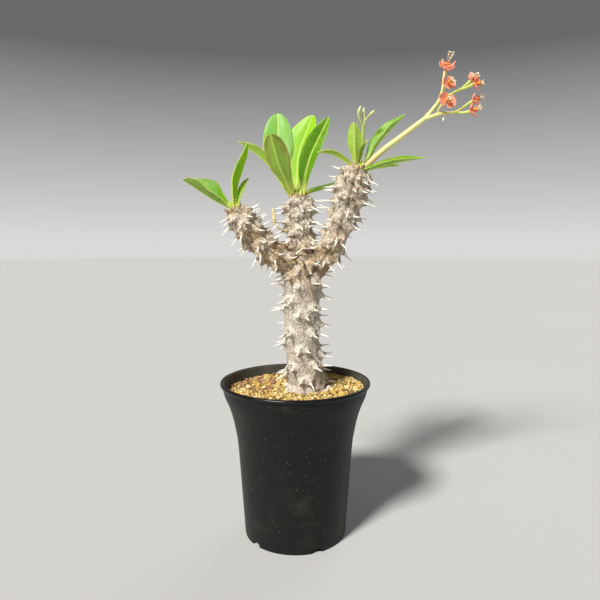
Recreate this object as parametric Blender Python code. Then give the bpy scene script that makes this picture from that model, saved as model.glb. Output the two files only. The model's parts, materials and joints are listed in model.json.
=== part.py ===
# Potted euphorbia: a black flared pot of granular soil holds a stout spiny stem that forks in three. Each
# branch ends in a crown of leaves. The right one also carries a flower stalk and a spray of young buds.
# Metres, +Z up. The origin is on the pot's axis, on its flat underside.

import math
import random

import bpy
import bmesh
from mathutils import Matrix, Vector
from mathutils.bvhtree import BVHTree

MM = 0.001
GAP = 0.3 * MM  # kept between two pieces that touch
SEED = 7

# Pot: a turned wall with a rolled lip, and a thick floor with drain channels under it
POT_SIDES = 36
POT_RIM_RADIUS = 52.5 * MM
POT_HEIGHT = 110 * MM
POT_WALL = 1.4 * MM
POT_FLOOR = 5 * MM
LIP = 3 * MM
# Outer wall as (radius, height) in millimetres, from the foot to the underside of the lip
POT_OUTLINE = [
    (35.8, 0), (37.2, 20), (40.2, 63), (42.2, 77), (43.9, 85), (46.1, 92.5), (49.4, 100.5), (51, 107),
]
DRAIN_COUNT = 5
DRAIN_TURN = math.radians(222)
DRAIN_WIDTH = 7 * MM
DRAIN_DEPTH = 3 * MM
DRAIN_START = 13 * MM
DRAIN_HOLE_RADIUS = 3.5 * MM
DRAIN_HOLE_AT = 25 * MM
HOLE_SIDES = 12

# Soil: its top slopes up to the right and is covered in grains, larger than the real ones
SOIL_SIDES = 72
SOIL_RINGS = 13
SOIL_LEVEL = 104.6 * MM
SOIL_SLOPE = 0.035
SOIL_WALL_GAP = 0.5 * MM
GRAIN_SPACING = 2.5 * MM  # where the grid is closer than this, the grains are lower
GRAIN_RISE = (0.4 * MM, 1.1 * MM)  # the least and the most, above or below the soil's level

# Stem: the trunk's foot stands in a plain hole in the soil. Each limb is a tube of square-ish faces, and each
# spine is drawn out of one face. Spines stand in pairs, one pair to a tubercle, in eight rows round the limb.
TRUNK_FOOT = Vector((8, 0, 82)) * MM
FOOT_RADIUS = 13.2 * MM
FOOT_HOLE_GAP = 0.5 * MM
LIMB_SIDES = 16
RING_STEP = 3.9 * MM
TUBERCLE = 1.9 * MM
TUBERCLE_SPREAD = 3.3 * MM
TUBERCLE_TURN = math.radians(135)
SPINE_LENGTH = 10 * MM
SPINE_LENGTHS = (0.85, 1.1)  # the least and the most, for that length
SPINE_APART = 0.8  # from the tubercle's middle, in faces
SPINE_TURN = 0.12  # how far it may turn from there, in radians
SPINE_LEAN = (-0.4, 0.08)  # along the limb, for 1 straight out
SPINE_SINK = 0.3 * MM
SPINE_NECK = 0.6 * MM
SPINE_BASE_HEIGHT = 3 * MM
SPINE_CLEARANCE = 0.8 * MM
SPINE_TESTS = 10

# Each limb: a smooth run through points, with a radius at each point; first is where its tubercles start and
# internode the rise from each to the next, in millimetres for a row of RING_STEP; phase is the first one's
# turn, in degrees
LIMBS = {
    "trunk": {
        "points": [
            (8, 0, 82), (8, 0, 98), (7.2, 0, 112), (4.9, 0, 138), (4.6, 1, 165), (4.8, 2, 184), (4.5, 3, 196),
        ],
        "radii": [13.2, 13.2, 12.2, 11.6, 11.8, 12.8, 9.5],
        "phase": 90, "first": 33.5, "internode": 1.9, "bare_end": 6,
    },
    "left": {
        "points": [(2, 1, 184), (-8, -2, 193.5), (-22.4, -5, 204.3), (-33, -8, 217), (-39.8, -9.3, 227.2)],
        "radii": [8, 7.8, 7.5, 8, 6],
        "phase": 50, "first": 15, "internode": 1.55, "bare_end": 2.5,
    },
    "centre": {
        "points": [(4.4, 3, 182), (4.2, 5, 196), (2.6, 7, 213), (2.6, 8, 227), (2.4, 8.5, 236.2)],
        "radii": [9, 8.8, 8.4, 8.8, 7],
        "phase": 120, "first": 14, "internode": 1.55, "bare_end": 2.5,
    },
    "right": {
        "points": [
            (9, 2, 183), (18, 1, 193), (28.2, -2, 211), (35.6, -3.5, 233), (38.8, -4, 245), (42, -4.5, 254),
        ],
        "radii": [8, 7.4, 7.8, 9, 9.2, 7.2],
        "phase": 25, "first": 17, "internode": 1.6, "bare_end": 2.5,
    },
}

SOCKET_SIDES = 14

# Leaves: the midrib runs through its points, in millimetres, the face vector is the way the upper side looks,
# and both halves are raised by the fold, in degrees
CROWNS = {
    "left": {
        "limb": "left", "core_radius": 5,
        "leaves": [
            {"rib": [(-40.6, -9, 228.2), (-55.5, -5.5, 235.3), (-76.3, 0, 248.5)],
             "width": 24, "face": (0.4, -0.32, 0.87), "fold": 52, "tip": 0.9, "wave": 0.8},
            {"rib": [(-40, -8.8, 228), (-41.6, -6, 249), (-31.6, -6, 271.5)],
             "width": 13, "face": (0.8, -0.55, 0.1), "fold": 48, "tip": 0.8},
            {"rib": [(-39, -8, 228.5), (-35.9, -3.5, 240), (-31.5, 0, 249.3)],
             "width": 8, "face": (-0.6, -0.7, 0.2), "fold": 30, "tip": 0.8},
        ],
    },
    "centre": {
        "limb": "centre", "core_radius": 6,
        "leaves": [
            {"rib": [(-0.6, 12, 237), (-11, 19, 265), (-12.6, 24, 296.6)],
             "width": 24, "face": (-0.1, -0.95, 0.3), "fold": 14, "tip": 0.45},
            {"rib": [(-1.2, 6.4, 238), (-10.2, -7, 256.5), (-15.6, -18, 275)],
             "width": 19, "face": (0.1, 0.85, 0.55), "fold": 24, "tip": 0.5, "wave": 0.3},
            {"rib": [(-2.6, 8, 237), (-19.5, 11.5, 260.5), (-39.3, 12, 275.4)],
             "width": 15, "face": (0.5, 0.1, 0.8), "fold": 52, "tip": 1, "wave": 0.3},
            {"rib": [(1.6, 11, 237), (2.4, 17, 266), (12.6, 22, 295)],
             "width": 26, "face": (-0.5, -0.87, 0), "fold": 28, "tip": 0.6},
            {"rib": [(4.8, 6.5, 236.5), (9.6, 2, 261.5), (22.8, 2, 289.4)],
             "width": 18, "face": (-0.35, -0.93, 0.1), "fold": 38, "tip": 0.6},
            {"rib": [(5.0, 11.2, 238.8), (11.5, 16, 241.6), (19.2, 24, 244), (32.9, 36, 250)],
             "width": 9, "face": (-0.3, -0.3, 0.9), "fold": 45, "tip": 0.9},
        ],
    },
    "right": {
        "limb": "right", "core_radius": 6.2,
        "leaves": [
            {"rib": [(38.6, -5.5, 256.4), (34, -6.8, 259.2), (24.6, -10, 263.6), (14.3, -14, 264.2)],
             "width": 8, "face": (0.3, 0.2, 0.9), "fold": 50, "tip": 0.8},
            {"rib": [(40.4, -7.2, 255.5), (38.9, -13.5, 268.8), (37.8, -16.5, 282.6)],
             "width": 12, "face": (0.05, 0.9, 0.35), "fold": 28, "tip": 0.5},
            {"rib": [(42.4, -7, 255.8), (44.4, -6.8, 265.5), (48, -6.5, 273.4)],
             "width": 5, "face": (-0.5, -0.6, 0.4), "fold": 50, "tip": 1},
            {"rib": [(45.6, -0.2, 254.8), (57.4, 5, 274), (75, 8, 292.5)],
             "width": 16, "face": (-0.7, -0.4, 0.6), "fold": 46, "tip": 0.8},
            {"rib": [(44.2, -7.8, 253.8), (49, -8.8, 254.3), (65, -11, 257.9), (84.5, -14, 261)],
             "width": 13, "face": (-0.1, -0.3, 0.95), "fold": 35, "tip": 1, "wave": 0.4},
            {"rib": [(45, -0.8, 254.4), (50.5, 1.8, 255.8), (61, 8, 257.6), (73, 16, 259.6)],
             "width": 9, "face": (-0.1, -0.2, 0.95), "fold": 40, "tip": 0.8},
        ],
    },
}
CORE_PLUG = 4.5 * MM
CORE_SHOULDER = 0.6 * MM
CORE_DOME = 3.6 * MM
CORE_SIDES = 10
CORE_SOCKET_REACH = 8 * MM
LEAF_STEPS = 7
LEAF_PARTS = (-1, -0.5, 0, 0.5, 1)
BLADE_THICKNESS = 0.7 * MM
BLADE_DROOP = 0.12  # how far a half bends down at its margin, for its width
PETIOLE_WIDTH = 3.0 * MM
PETIOLE_SHARE = 0.3  # of the leaf's length
PETIOLE_FLATNESS = 0.6  # how much of the fold is missing where the leaf starts
PETIOLE_TAPER = 0.8  # how much of its width is gone at the tip
WIDEST_POWER = 1.5  # the greater it is, the nearer the tip the blade is widest
BLUNT_TIP = 0.995  # where on its length the blade's outline is cut off
RIB_DEPTH = 1.1 * MM

# Flower stalk and bud spray: each run goes through its points with a radius at each one, in millimetres
STALK_RUNS = [
    {"points": [(43.8, -4.4, 253.2), (56.5, -5, 265.2), (69.4, -6, 275), (85.5, -7.5, 287)],
     "radii": [2.1, 2.0, 1.8, 1.5], "steps": 8},
    {"points": [(84.5, -7.5, 286.3), (90, -7, 292.5), (94, -8, 298), (96, -8.5, 304.5), (96.4, -9, 311)],
     "radii": [1.3, 1.25, 1.15, 1.1, 0.8], "steps": 6},
    {"points": [(94.5, -8, 299), (102, -5.5, 302.6), (109.6, -3.6, 306.8)],
     "radii": [1.0, 0.9, 0.9], "steps": 3},
    {"points": [(84, -7.5, 286.2), (89.5, -9, 287.8), (94.4, -10, 289.2), (100, -9, 290), (106.4, -8, 290.8)],
     "radii": [1.35, 1.3, 1.25, 1.05, 0.9], "steps": 6},
]
STALK_SIDES = 5
PEDICEL_STEPS = 3
BUD_RUNS = [
    {"points": [(41.4, 0.4, 255.6), (44.4, 1.2, 264), (45.4, 0, 274), (45.6, 0, 284)],
     "radii": [1.0, 1.0, 1.1, 1.0], "steps": 5},
    {"points": [(45.5, 0, 282.5), (42.6, -1.4, 289), (42.6, -2, 293), (43.9, -2, 296.2)],
     "radii": [0.7, 0.8, 1.2, 0.4], "steps": 4},
    {"points": [(45.5, 0, 282.5), (46.8, 0.6, 287), (46, 1.6, 291), (46.2, 2, 296)],
     "radii": [0.75, 0.7, 1.4, 0.4], "steps": 4},
    {"points": [(46.6, 0.4, 286.4), (49, -0.4, 289.6), (51, -0.8, 291.5), (53.1, -1, 293.6)],
     "radii": [0.6, 0.65, 1.2, 0.5], "steps": 4},
]
BUD_SIDES = 5
# How long the cutters of the holes are in which their feet stand
STALK_HOLE = 12 * MM
BUD_HOLE = 6 * MM

# Blooms: the pedicel's points before the one where it ends, that end, the way the bloom looks and the way its
# first bract points, all in millimetres. The two bracts stand away from the axis by the spread, in degrees.
BLOOMS = [
    {"pedicel": [(96, -8.5, 304.5), (96.4, -9, 311)], "at": (97.3, -9, 316.6),
     "axis": (0.2, -0.45, 0.87), "bract": (0.5, -0.7, 0), "size": 1.05, "spread": 46, "stamens": 8.7},
    {"pedicel": [(95.9, -8.3, 302.5), (96.2, -10.5, 305)], "at": (97, -13.2, 307),
     "axis": (0.5, -0.82, 0.22), "bract": (1, 0.3, 0.4), "size": 0.95, "spread": 68, "stamens": 4},
    {"pedicel": [(93, -9.7, 288.8), (93.4, -11.8, 292.2)], "at": (96, -16.4, 295.6),
     "axis": (0.3, -0.93, 0.12), "bract": (-1, 0, 0.25), "size": 1, "spread": 70, "stamens": 2.5},
    {"pedicel": [(108.2, -3.8, 305.8), (112.6, -1.2, 309.2)], "at": (116.6, 1, 312.6),
     "axis": (0.7, 0.1, 0.6), "bract": (-0.6, -0.3, 0.7), "size": 0.85, "spread": 44, "stamens": 4},
    {"pedicel": [(108.2, -4, 305.8), (112.4, -6, 307)], "at": (116, -8, 308.2),
     "axis": (0.85, -0.5, 0.1), "bract": (0.2, -0.6, -1), "size": 0.75, "spread": 46, "stamens": 3.5},
    {"pedicel": [(105.2, -8, 290.6), (111.5, -5.5, 295)], "at": (117.2, -3, 298.8),
     "axis": (0.85, -0.25, 0.4), "bract": (-0.4, 0.1, 0.9), "size": 0.8, "spread": 46, "stamens": 4},
    {"pedicel": [(105.2, -8, 290.6), (109.2, -10, 290)], "at": (113, -12, 290.2),
     "axis": (0.88, -0.35, 0.3), "bract": (-0.3, 0, 1), "size": 0.8, "spread": 46, "stamens": 4},
]
PEDICEL_RADII = [0.75, 0.85, 1.25]
BRACT_LENGTH = 5.8 * MM
BRACT_WIDTH = 9.2 * MM
BRACT_THICKNESS = 0.65 * MM
BRACT_ROOT = 1.6 * MM  # how far a bract runs almost straight out before it rises
BRACT_ROOT_RISE = 0.3 * MM
BRACT_ROOT_HALF = 0.5 * MM
BRACT_CUPPING = 0.25  # how far each side rises for its width
BRACT_HEIGHTS = (0.6 * MM, 0.8 * MM)  # of the two bracts' roots, on the collar
BRACT_STEPS = 3
COLLAR_RADIUS = 1.5 * MM
COLLAR_HEIGHT = 1.2 * MM
BLOOM_SIDES = 6
CUP_RADIUS = 1.9 * MM
CUP_HEIGHT = 3.0 * MM
STAMENS = 4
STAMEN_SIDES = 3
STAMEN_RADIUS = 0.5 * MM
STAMEN_LEAN = 0.25

# Dead parts that stay on the plant
DRIED_STALK = {
    "points": [
        (4.8, -9, 193.2), (5, -15, 191), (7.4, -16.4, 180.5), (11.2, -15.6, 171.5), (13.4, -14.2, 165.8),
    ],
    "radii": [0.9, 0.9, 0.8, 0.7, 0.5], "steps": 8,
}
DRIED_LEAF = {
    "points": [(-3.2, 3.6, 214.2), (-9.6, 1.4, 214.8), (-13.6, 0, 218), (-14.4, 0, 223), (-15, 0, 228.8)],
    "radii": [0.55, 0.5, 0.6, 0.95, 0.7], "steps": 8,
}
DRIED_SIDES = 5
DRIED_HOLE = 5 * MM
DRIED_HOLE_SIDES = 8

BARK = ((0.62, 0.57, 0.48), 0.85)
BLACK_PLASTIC = ((0.015, 0.015, 0.016), 0.45)
SOIL = ((0.72, 0.52, 0.24), 0.95)
LEAF_GREEN = ((0.24, 0.42, 0.05), 0.4)
STALK_GREEN = ((0.62, 0.66, 0.22), 0.5)
BRACT_PINK = ((0.86, 0.28, 0.2), 0.5)
CUP_ORANGE = ((0.85, 0.2, 0.04), 0.45)
DRIED_TAN = ((0.5, 0.34, 0.14), 0.8)


def clear_scene():
    for old in list(bpy.data.objects):
        bpy.data.objects.remove(old, do_unlink=True)


def material(name, look):
    colour, roughness = look
    made = bpy.data.materials.new(name)
    made.use_nodes = True
    shader = made.node_tree.nodes["Principled BSDF"]
    shader.inputs["Base Color"].default_value = (*colour, 1)
    shader.inputs["Roughness"].default_value = roughness
    shader.inputs["Metallic"].default_value = 0
    return made


def vectors(points):
    return [Vector(point) * MM for point in points]


def curve_at(points, t):
    # The place at t, from 0 to 1, on a smooth run through points or through plain numbers
    last = len(points) - 1
    i = min(int(t * last), last - 1)
    u = t * last - i
    start, end = points[i], points[i + 1]
    before = points[i - 1] if i else start * 2 - end
    after = points[i + 2] if i + 2 <= last else end * 2 - start
    return (
        start * 2 + (end - before) * u + (before * 2 - start * 5 + end * 4 - after) * u**2
        + (start * 3 - before - end * 3 + after) * u**3
    ) * 0.5


def run_length(points):
    samples = [curve_at(points, i / 40) for i in range(41)]
    return sum((b - a).length for a, b in zip(samples, samples[1:]))


def frames_along(path, start_side, end_axis=None):
    # A tangent, a side and a second side at each point, carried along without twist
    frames = []
    side = start_side
    last = len(path) - 1
    for i, point in enumerate(path):
        tangent = (path[min(i + 1, last)] - path[max(i - 1, 0)]).normalized()
        if end_axis and i == last:
            tangent = end_axis
        side = (side - tangent * side.dot(tangent)).normalized()
        frames.append((point, tangent, side, tangent.cross(side)))
    return frames


def skin(rings, peaked=False):
    # A closed mesh over rings of points; a ring of one point is a tip, and any other end gets a flat cap.
    # A peaked one is split in triangles so that every other corner can rise as a peak of its own.
    points = [point for ring in rings for point in ring]
    starts = [sum(len(ring) for ring in rings[:i]) for i in range(len(rings))]
    faces = []
    for i, (low, high) in enumerate(zip(rings, rings[1:])):
        a, b = starts[i], starts[i + 1]
        count = max(len(low), len(high))
        for j in range(count):
            k = (j + 1) % count
            if len(low) == 1:
                faces.append((a, b + k, b + j))
            elif len(high) == 1:
                faces.append((a + j, a + k, b))
            elif peaked and (i + j) % 2:
                faces.append((a + j, a + k, b + j))
                faces.append((a + k, b + k, b + j))
            else:
                faces.append((a + j, a + k, b + k))
                faces.append((a + j, b + k, b + j))
    if len(rings[0]) > 1:
        faces.append(tuple(range(len(rings[0])))[::-1])
    if len(rings[-1]) > 1:
        faces.append(tuple(starts[-1] + j for j in range(len(rings[-1]))))
    return points, faces


def sheet(upper, lower):
    # A closed thin blade between two grids of points, with both faces split in triangles alike
    rows, columns = len(upper), len(upper[0])
    points = [point for row in upper + lower for point in row]
    under = rows * columns
    faces = []
    for i in range(rows - 1):
        for j in range(columns - 1):
            a, b = i * columns + j, (i + 1) * columns + j
            for triangle in ((a, a + 1, b + 1), (a, b + 1, b)):
                faces.append(triangle)
                faces.append(tuple(under + corner for corner in reversed(triangle)))
    ends = [(i * columns + j, i * columns + j + 1) for i in (0, rows - 1) for j in range(columns - 1)]
    sides = [(i * columns + j, (i + 1) * columns + j) for j in (0, columns - 1) for i in range(rows - 1)]
    for a, b in ends + sides:
        faces += [(a, b, under + b), (a, under + b, under + a)]
    return points, faces


def add_object(name, points, faces, look=None, smooth_angle=None):
    mesh = bpy.data.meshes.new(name)
    mesh.from_pydata(points, [], faces)
    shape = bmesh.new()
    shape.from_mesh(mesh)
    bmesh.ops.recalc_face_normals(shape, faces=shape.faces)
    shape.to_mesh(mesh)
    shape.free()
    if look:
        mesh.materials.append(look)
    if smooth_angle:
        mesh.shade_smooth()
        mesh.set_sharp_from_angle(angle=math.radians(smooth_angle))
    made = bpy.data.objects.new(name, mesh)
    bpy.context.scene.collection.objects.link(made)
    return made


def boolean(target, tools, operation, solver="EXACT"):
    # One Boolean with a collection of tools, applied; the tools are then removed
    group = bpy.data.collections.new("tools")
    bpy.context.scene.collection.children.link(group)
    for tool in tools:
        group.objects.link(tool)
    modifier = target.modifiers.new("Join", "BOOLEAN")
    modifier.operation = operation
    modifier.operand_type = "COLLECTION"
    modifier.collection = group
    modifier.solver = solver
    bpy.context.view_layer.update()
    joined = bpy.data.meshes.new_from_object(target.evaluated_get(bpy.context.evaluated_depsgraph_get()))
    target.modifiers.clear()
    target.data = joined
    for tool in tools:
        bpy.data.objects.remove(tool, do_unlink=True)
    bpy.data.collections.remove(group)


def tidy_mesh(target, look, smooth_angle):
    # Merges doubled points, splits every face in triangles and sets the one material
    mesh = target.data
    shape = bmesh.new()
    shape.from_mesh(mesh)
    bmesh.ops.remove_doubles(shape, verts=shape.verts, dist=0.002 * MM)
    bmesh.ops.triangulate(shape, faces=shape.faces)
    shape.to_mesh(mesh)
    shape.free()
    mesh.materials.clear()
    mesh.materials.append(look)
    for face in mesh.polygons:
        face.material_index = 0
    mesh.shade_smooth()
    mesh.set_sharp_from_angle(angle=math.radians(smooth_angle))


def circle(centre, radius, sides, side=Vector((1, 0, 0)), second=Vector((0, 1, 0)), turn=0.0):
    angles = [turn + math.tau * i / sides for i in range(sides)]
    return [centre + side * radius * math.cos(a) + second * radius * math.sin(a) for a in angles]


def turned(profile, sides, at=Vector((0, 0, 0)), axis=Vector((0, 0, 1))):
    # A solid turned about an axis from (radius, height) pairs; radius 0 is a point on the axis
    turn = axis.to_track_quat("Z", "Y")
    side, second = turn @ Vector((1, 0, 0)), turn @ Vector((0, 1, 0))
    rings = []
    for radius, height in profile:
        centre = at + axis * height
        rings.append(circle(centre, radius, sides, side, second) if radius else [centre])
    return skin(rings)


def tube(points, radii, sides, steps, end_axis=None):
    run, sizes = vectors(points), [radius * MM for radius in radii]
    path = [curve_at(run, i / steps) for i in range(steps + 1)]
    start = (run[1] - run[0]).cross(Vector((0, 0.3, 1))).normalized()
    rings = []
    for i, (centre, _, side, second) in enumerate(frames_along(path, start, end_axis)):
        rings.append(circle(centre, curve_at(sizes, i / steps), sides, side, second))
    return skin(rings)


def wall_radius(height):
    # Outer radius of the pot's wall at a height
    for (r0, z0), (r1, z1) in zip(POT_OUTLINE, POT_OUTLINE[1:]):
        if height <= z1 * MM:
            return (r0 + (r1 - r0) * (height / MM - z0) / (z1 - z0)) * MM
    return POT_OUTLINE[-1][0] * MM


def make_pot(look):
    outer = [(radius * MM, height * MM) for radius, height in POT_OUTLINE]
    inner = [(radius - POT_WALL, height) for radius, height in reversed(outer) if height > POT_FLOOR]
    lip_low = POT_HEIGHT - LIP
    lip = [
        (POT_RIM_RADIUS - 0.2 * LIP, lip_low + 0.1 * LIP),
        (POT_RIM_RADIUS, lip_low + 0.45 * LIP),
        (POT_RIM_RADIUS - 0.15 * LIP, lip_low + 0.85 * LIP),
        (POT_RIM_RADIUS - 0.45 * LIP, POT_HEIGHT),
        (POT_RIM_RADIUS - 0.8 * LIP, lip_low + 0.85 * LIP),
    ]
    floor_top = [(wall_radius(POT_FLOOR) - POT_WALL, POT_FLOOR), (0, POT_FLOOR)]
    pot = add_object("pot", *turned([(0, 0), *outer, *lip, *inner, *floor_top], POT_SIDES))
    cutters = []
    for i in range(DRAIN_COUNT):
        turn = Matrix.Rotation(DRAIN_TURN + math.tau * i / DRAIN_COUNT, 3, "Z")
        half, far = DRAIN_WIDTH / 2, POT_RIM_RADIUS
        outline = [(DRAIN_START, -half), (far, -half), (far, half), (DRAIN_START, half)]
        low = [turn @ Vector((x, y, -DRAIN_DEPTH)) for x, y in outline]
        high = [turn @ Vector((x, y, DRAIN_DEPTH)) for x, y in outline]
        cutters.append(add_object("drain channel", *skin([low, high])))
        centre = turn @ Vector((DRAIN_HOLE_AT, 0, 0))
        ends = [centre + Vector((0, 0, height)) for height in (DRAIN_DEPTH / 2, POT_FLOOR * 2)]
        rings = [circle(end, DRAIN_HOLE_RADIUS, HOLE_SIDES) for end in ends]
        cutters.append(add_object("drain hole", *skin(rings)))
    boolean(pot, cutters, "DIFFERENCE")
    tidy_mesh(pot, look, 35)
    return pot


def grain_height(draw, point, is_top, spacing):
    # Every other corner of the grid is the top of a grain, and the ones between are low
    rise = draw.uniform(*GRAIN_RISE) * min(1, spacing / GRAIN_SPACING)
    return SOIL_LEVEL + SOIL_SLOPE * point.x + (rise if is_top else -rise)


def make_soil(look):
    hole_radius = FOOT_RADIUS + FOOT_HOLE_GAP
    hole_floor = TRUNK_FOOT.z - FOOT_HOLE_GAP
    foot = Vector((TRUNK_FOOT.x, TRUNK_FOOT.y, 0))
    floor = POT_FLOOR + GAP

    def wall_ring(height):
        return circle(Vector((0, 0, height)), wall_radius(height) - POT_WALL - SOIL_WALL_GAP, SOIL_SIDES)

    heights = [floor] + [z * MM for _, z in POT_OUTLINE if floor < z * MM < SOIL_LEVEL - LIP]
    draw = random.Random(SEED)
    rings = [[Vector((0, 0, floor))]] + [wall_ring(height) for height in heights]
    for i in range(SOIL_RINGS + 1):
        inward = i / SOIL_RINGS
        reach = (wall_radius(SOIL_LEVEL) - POT_WALL - SOIL_WALL_GAP) * (1 - inward) + hole_radius * inward
        ring = circle(foot * inward, reach, SOIL_SIDES)
        if i == 0:
            tops = [SOIL_LEVEL + SOIL_SLOPE * point.x for point in ring]
            ring = [wall_ring(top)[j] for j, top in enumerate(tops)]
        else:
            spacing = math.tau * reach / SOIL_SIDES
            for j, point in enumerate(ring):
                point.z = grain_height(draw, point, (len(rings) + j) % 2, spacing)
        rings.append(ring)
    rings.append(circle(foot + Vector((0, 0, hole_floor)), hole_radius, SOIL_SIDES))
    rings.append([foot + Vector((0, 0, hole_floor))])
    return add_object("soil", *skin(rings, peaked=True), look, 30)


def limb_frames(limb):
    run = vectors(limb["points"])
    steps = round(run_length(run) / RING_STEP)
    path = [curve_at(run, i / steps) for i in range(steps + 1)]
    return frames_along(path, Vector((0, -1, 0)))


def limb_spots(limb, rows):
    # (row, column) of each tubercle on the limb's faces: each stands three rows of eight round from the last
    draw = random.Random(SEED + limb["phase"])
    spots = []
    along = limb["first"]
    turn = math.radians(limb["phase"])
    end = rows * RING_STEP / MM - limb["bare_end"]
    while along < end:
        row = round((along + draw.uniform(-1, 1)) * MM / RING_STEP - 0.5)
        column = round(turn * LIMB_SIDES / math.tau) % LIMB_SIDES
        spots.append((row, column))
        along += limb["internode"]
        turn += TUBERCLE_TURN
    return spots


def swell_at(spots, row, column, radius):
    # How far a tubercle's middle is from a corner of the grid sets how much the bark swells there
    swell = 0
    for spot_row, spot_column in spots:
        rise = (row - spot_row - 0.5) * RING_STEP
        columns = (column - spot_column + LIMB_SIDES / 2) % LIMB_SIDES - LIMB_SIDES / 2
        arc = columns * math.tau * radius / LIMB_SIDES
        swell += math.exp(-(rise**2 + arc**2) / TUBERCLE_SPREAD**2)
    return TUBERCLE * min(swell, 1.2)


def make_limb(name, limb, neighbours):
    frames = limb_frames(limb)
    rows = len(frames) - 1
    spots = limb_spots(limb, rows)
    shape = bmesh.new()
    rings = []
    for row, (centre, _, side, second) in enumerate(frames):
        base = curve_at([value * MM for value in limb["radii"]], row / rows)
        ring = []
        for column in range(LIMB_SIDES):
            turn = math.tau * column / LIMB_SIDES
            radius = base + swell_at(spots, row, column, base)
            ring.append(shape.verts.new(centre + (side * math.cos(turn) + second * math.sin(turn)) * radius))
        rings.append(ring)
    faces = {}
    for row in range(rows):
        for column in range(LIMB_SIDES):
            after = (column + 1) % LIMB_SIDES
            corners = rings[row][column], rings[row][after], rings[row + 1][after], rings[row + 1][column]
            faces[row, column] = shape.faces.new(corners)
    shape.faces.new(rings[0][::-1])
    shape.faces.new(rings[-1])
    grow_spines(shape, faces, frames, spots, limb, neighbours)
    bmesh.ops.triangulate(shape, faces=shape.faces)
    mesh = bpy.data.meshes.new(name)
    shape.to_mesh(mesh)
    shape.free()
    made = bpy.data.objects.new(name, mesh)
    bpy.context.scene.collection.objects.link(made)
    return made


def grow_spines(shape, faces, frames, spots, limb, neighbours):
    # A pair at each tubercle, one in the face on each side of it, where they touch no leaf, stalk or soil
    draw = random.Random(SEED * limb["phase"])
    for row, column in sorted(set(spots)):
        centre, tangent, side, second = frames[row]
        for hand in (-1, 1):
            face = faces.get((row, (column - (hand < 0)) % LIMB_SIDES))
            turn = math.tau * (column + hand * SPINE_APART) / LIMB_SIDES
            turn += draw.uniform(-SPINE_TURN, SPINE_TURN)
            out = side * math.cos(turn) + second * math.sin(turn)
            direction = (out + tangent * draw.uniform(*SPINE_LEAN)).normalized()
            length = SPINE_LENGTH * draw.uniform(*SPINE_LENGTHS)
            if not face or len(face.verts) != 4:
                continue
            root = face.calc_center_median() - out * SPINE_SINK
            parts = [(i + 1) / SPINE_TESTS for i in range(SPINE_TESTS)]
            if any(
                neighbours.find_nearest(root + direction * length * part)[3] < SPINE_CLEARANCE * (2 - part)
                for part in parts
            ):
                continue
            neck = bmesh.ops.extrude_discrete_faces(shape, faces=[face])["faces"][0]
            middle = neck.calc_center_median()
            for vertex in neck.verts:
                outward = vertex.co - middle
                flat = (outward - direction * outward.dot(direction)).normalized()
                vertex.co = root + direction * SPINE_BASE_HEIGHT + flat * SPINE_NECK
            tip = bmesh.ops.poke(shape, faces=[neck])["verts"][0]
            tip.co = root + direction * length


def round_cutter(start, direction, radius, depth_back, depth_out, sides=SOCKET_SIDES):
    ends = [start - direction * depth_back, start + direction * depth_out]
    turn = direction.to_track_quat("Z", "Y")
    side, second = turn @ Vector((1, 0, 0)), turn @ Vector((0, 1, 0))
    return add_object("socket", *skin([circle(end, radius, sides, side, second) for end in ends]))


def make_stem(look, neighbours):
    tree = neighbour_tree(neighbours)
    trunk, *branches = [make_limb(name, limb, tree) for name, limb in LIMBS.items()]
    boolean(trunk, branches, "UNION")
    sockets = []
    for crown in CROWNS.values():
        top, axis = limb_end(crown["limb"])
        radius = crown["core_radius"] * MM + GAP
        sockets.append(round_cutter(top, axis, radius, CORE_PLUG + GAP, CORE_SOCKET_REACH))
    for dried in (DRIED_STALK, DRIED_LEAF):
        sockets.append(round_cutter(*run_passage(dried, DRIED_HOLE), DRIED_HOLE_SIDES))
    boolean(trunk, sockets, "DIFFERENCE")
    trunk.name = "stem"
    tidy_mesh(trunk, look, 50)
    return trunk


def limb_end(name):
    centre, tangent, _, _ = limb_frames(LIMBS[name])[-1]
    return centre, tangent


def neighbour_tree(objects):
    points, faces = [], []
    for item in objects:
        offset = len(points)
        points += [vertex.co for vertex in item.data.vertices]
        faces += [tuple(offset + index for index in face.vertices) for face in item.data.polygons]
    return BVHTree.FromPolygons(points, faces)


def blade_half_width(t, width, tip):
    # Narrow at the leaf stalk, widest past the middle, and the rounder at the tip the smaller tip is
    spread = math.pi * t**WIDEST_POWER
    swell = math.sin(spread) ** (1 if spread < math.pi / 2 else tip)
    return PETIOLE_WIDTH / 2 * (1 - PETIOLE_TAPER * t) + (width * MM - PETIOLE_WIDTH) / 2 * swell


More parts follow.
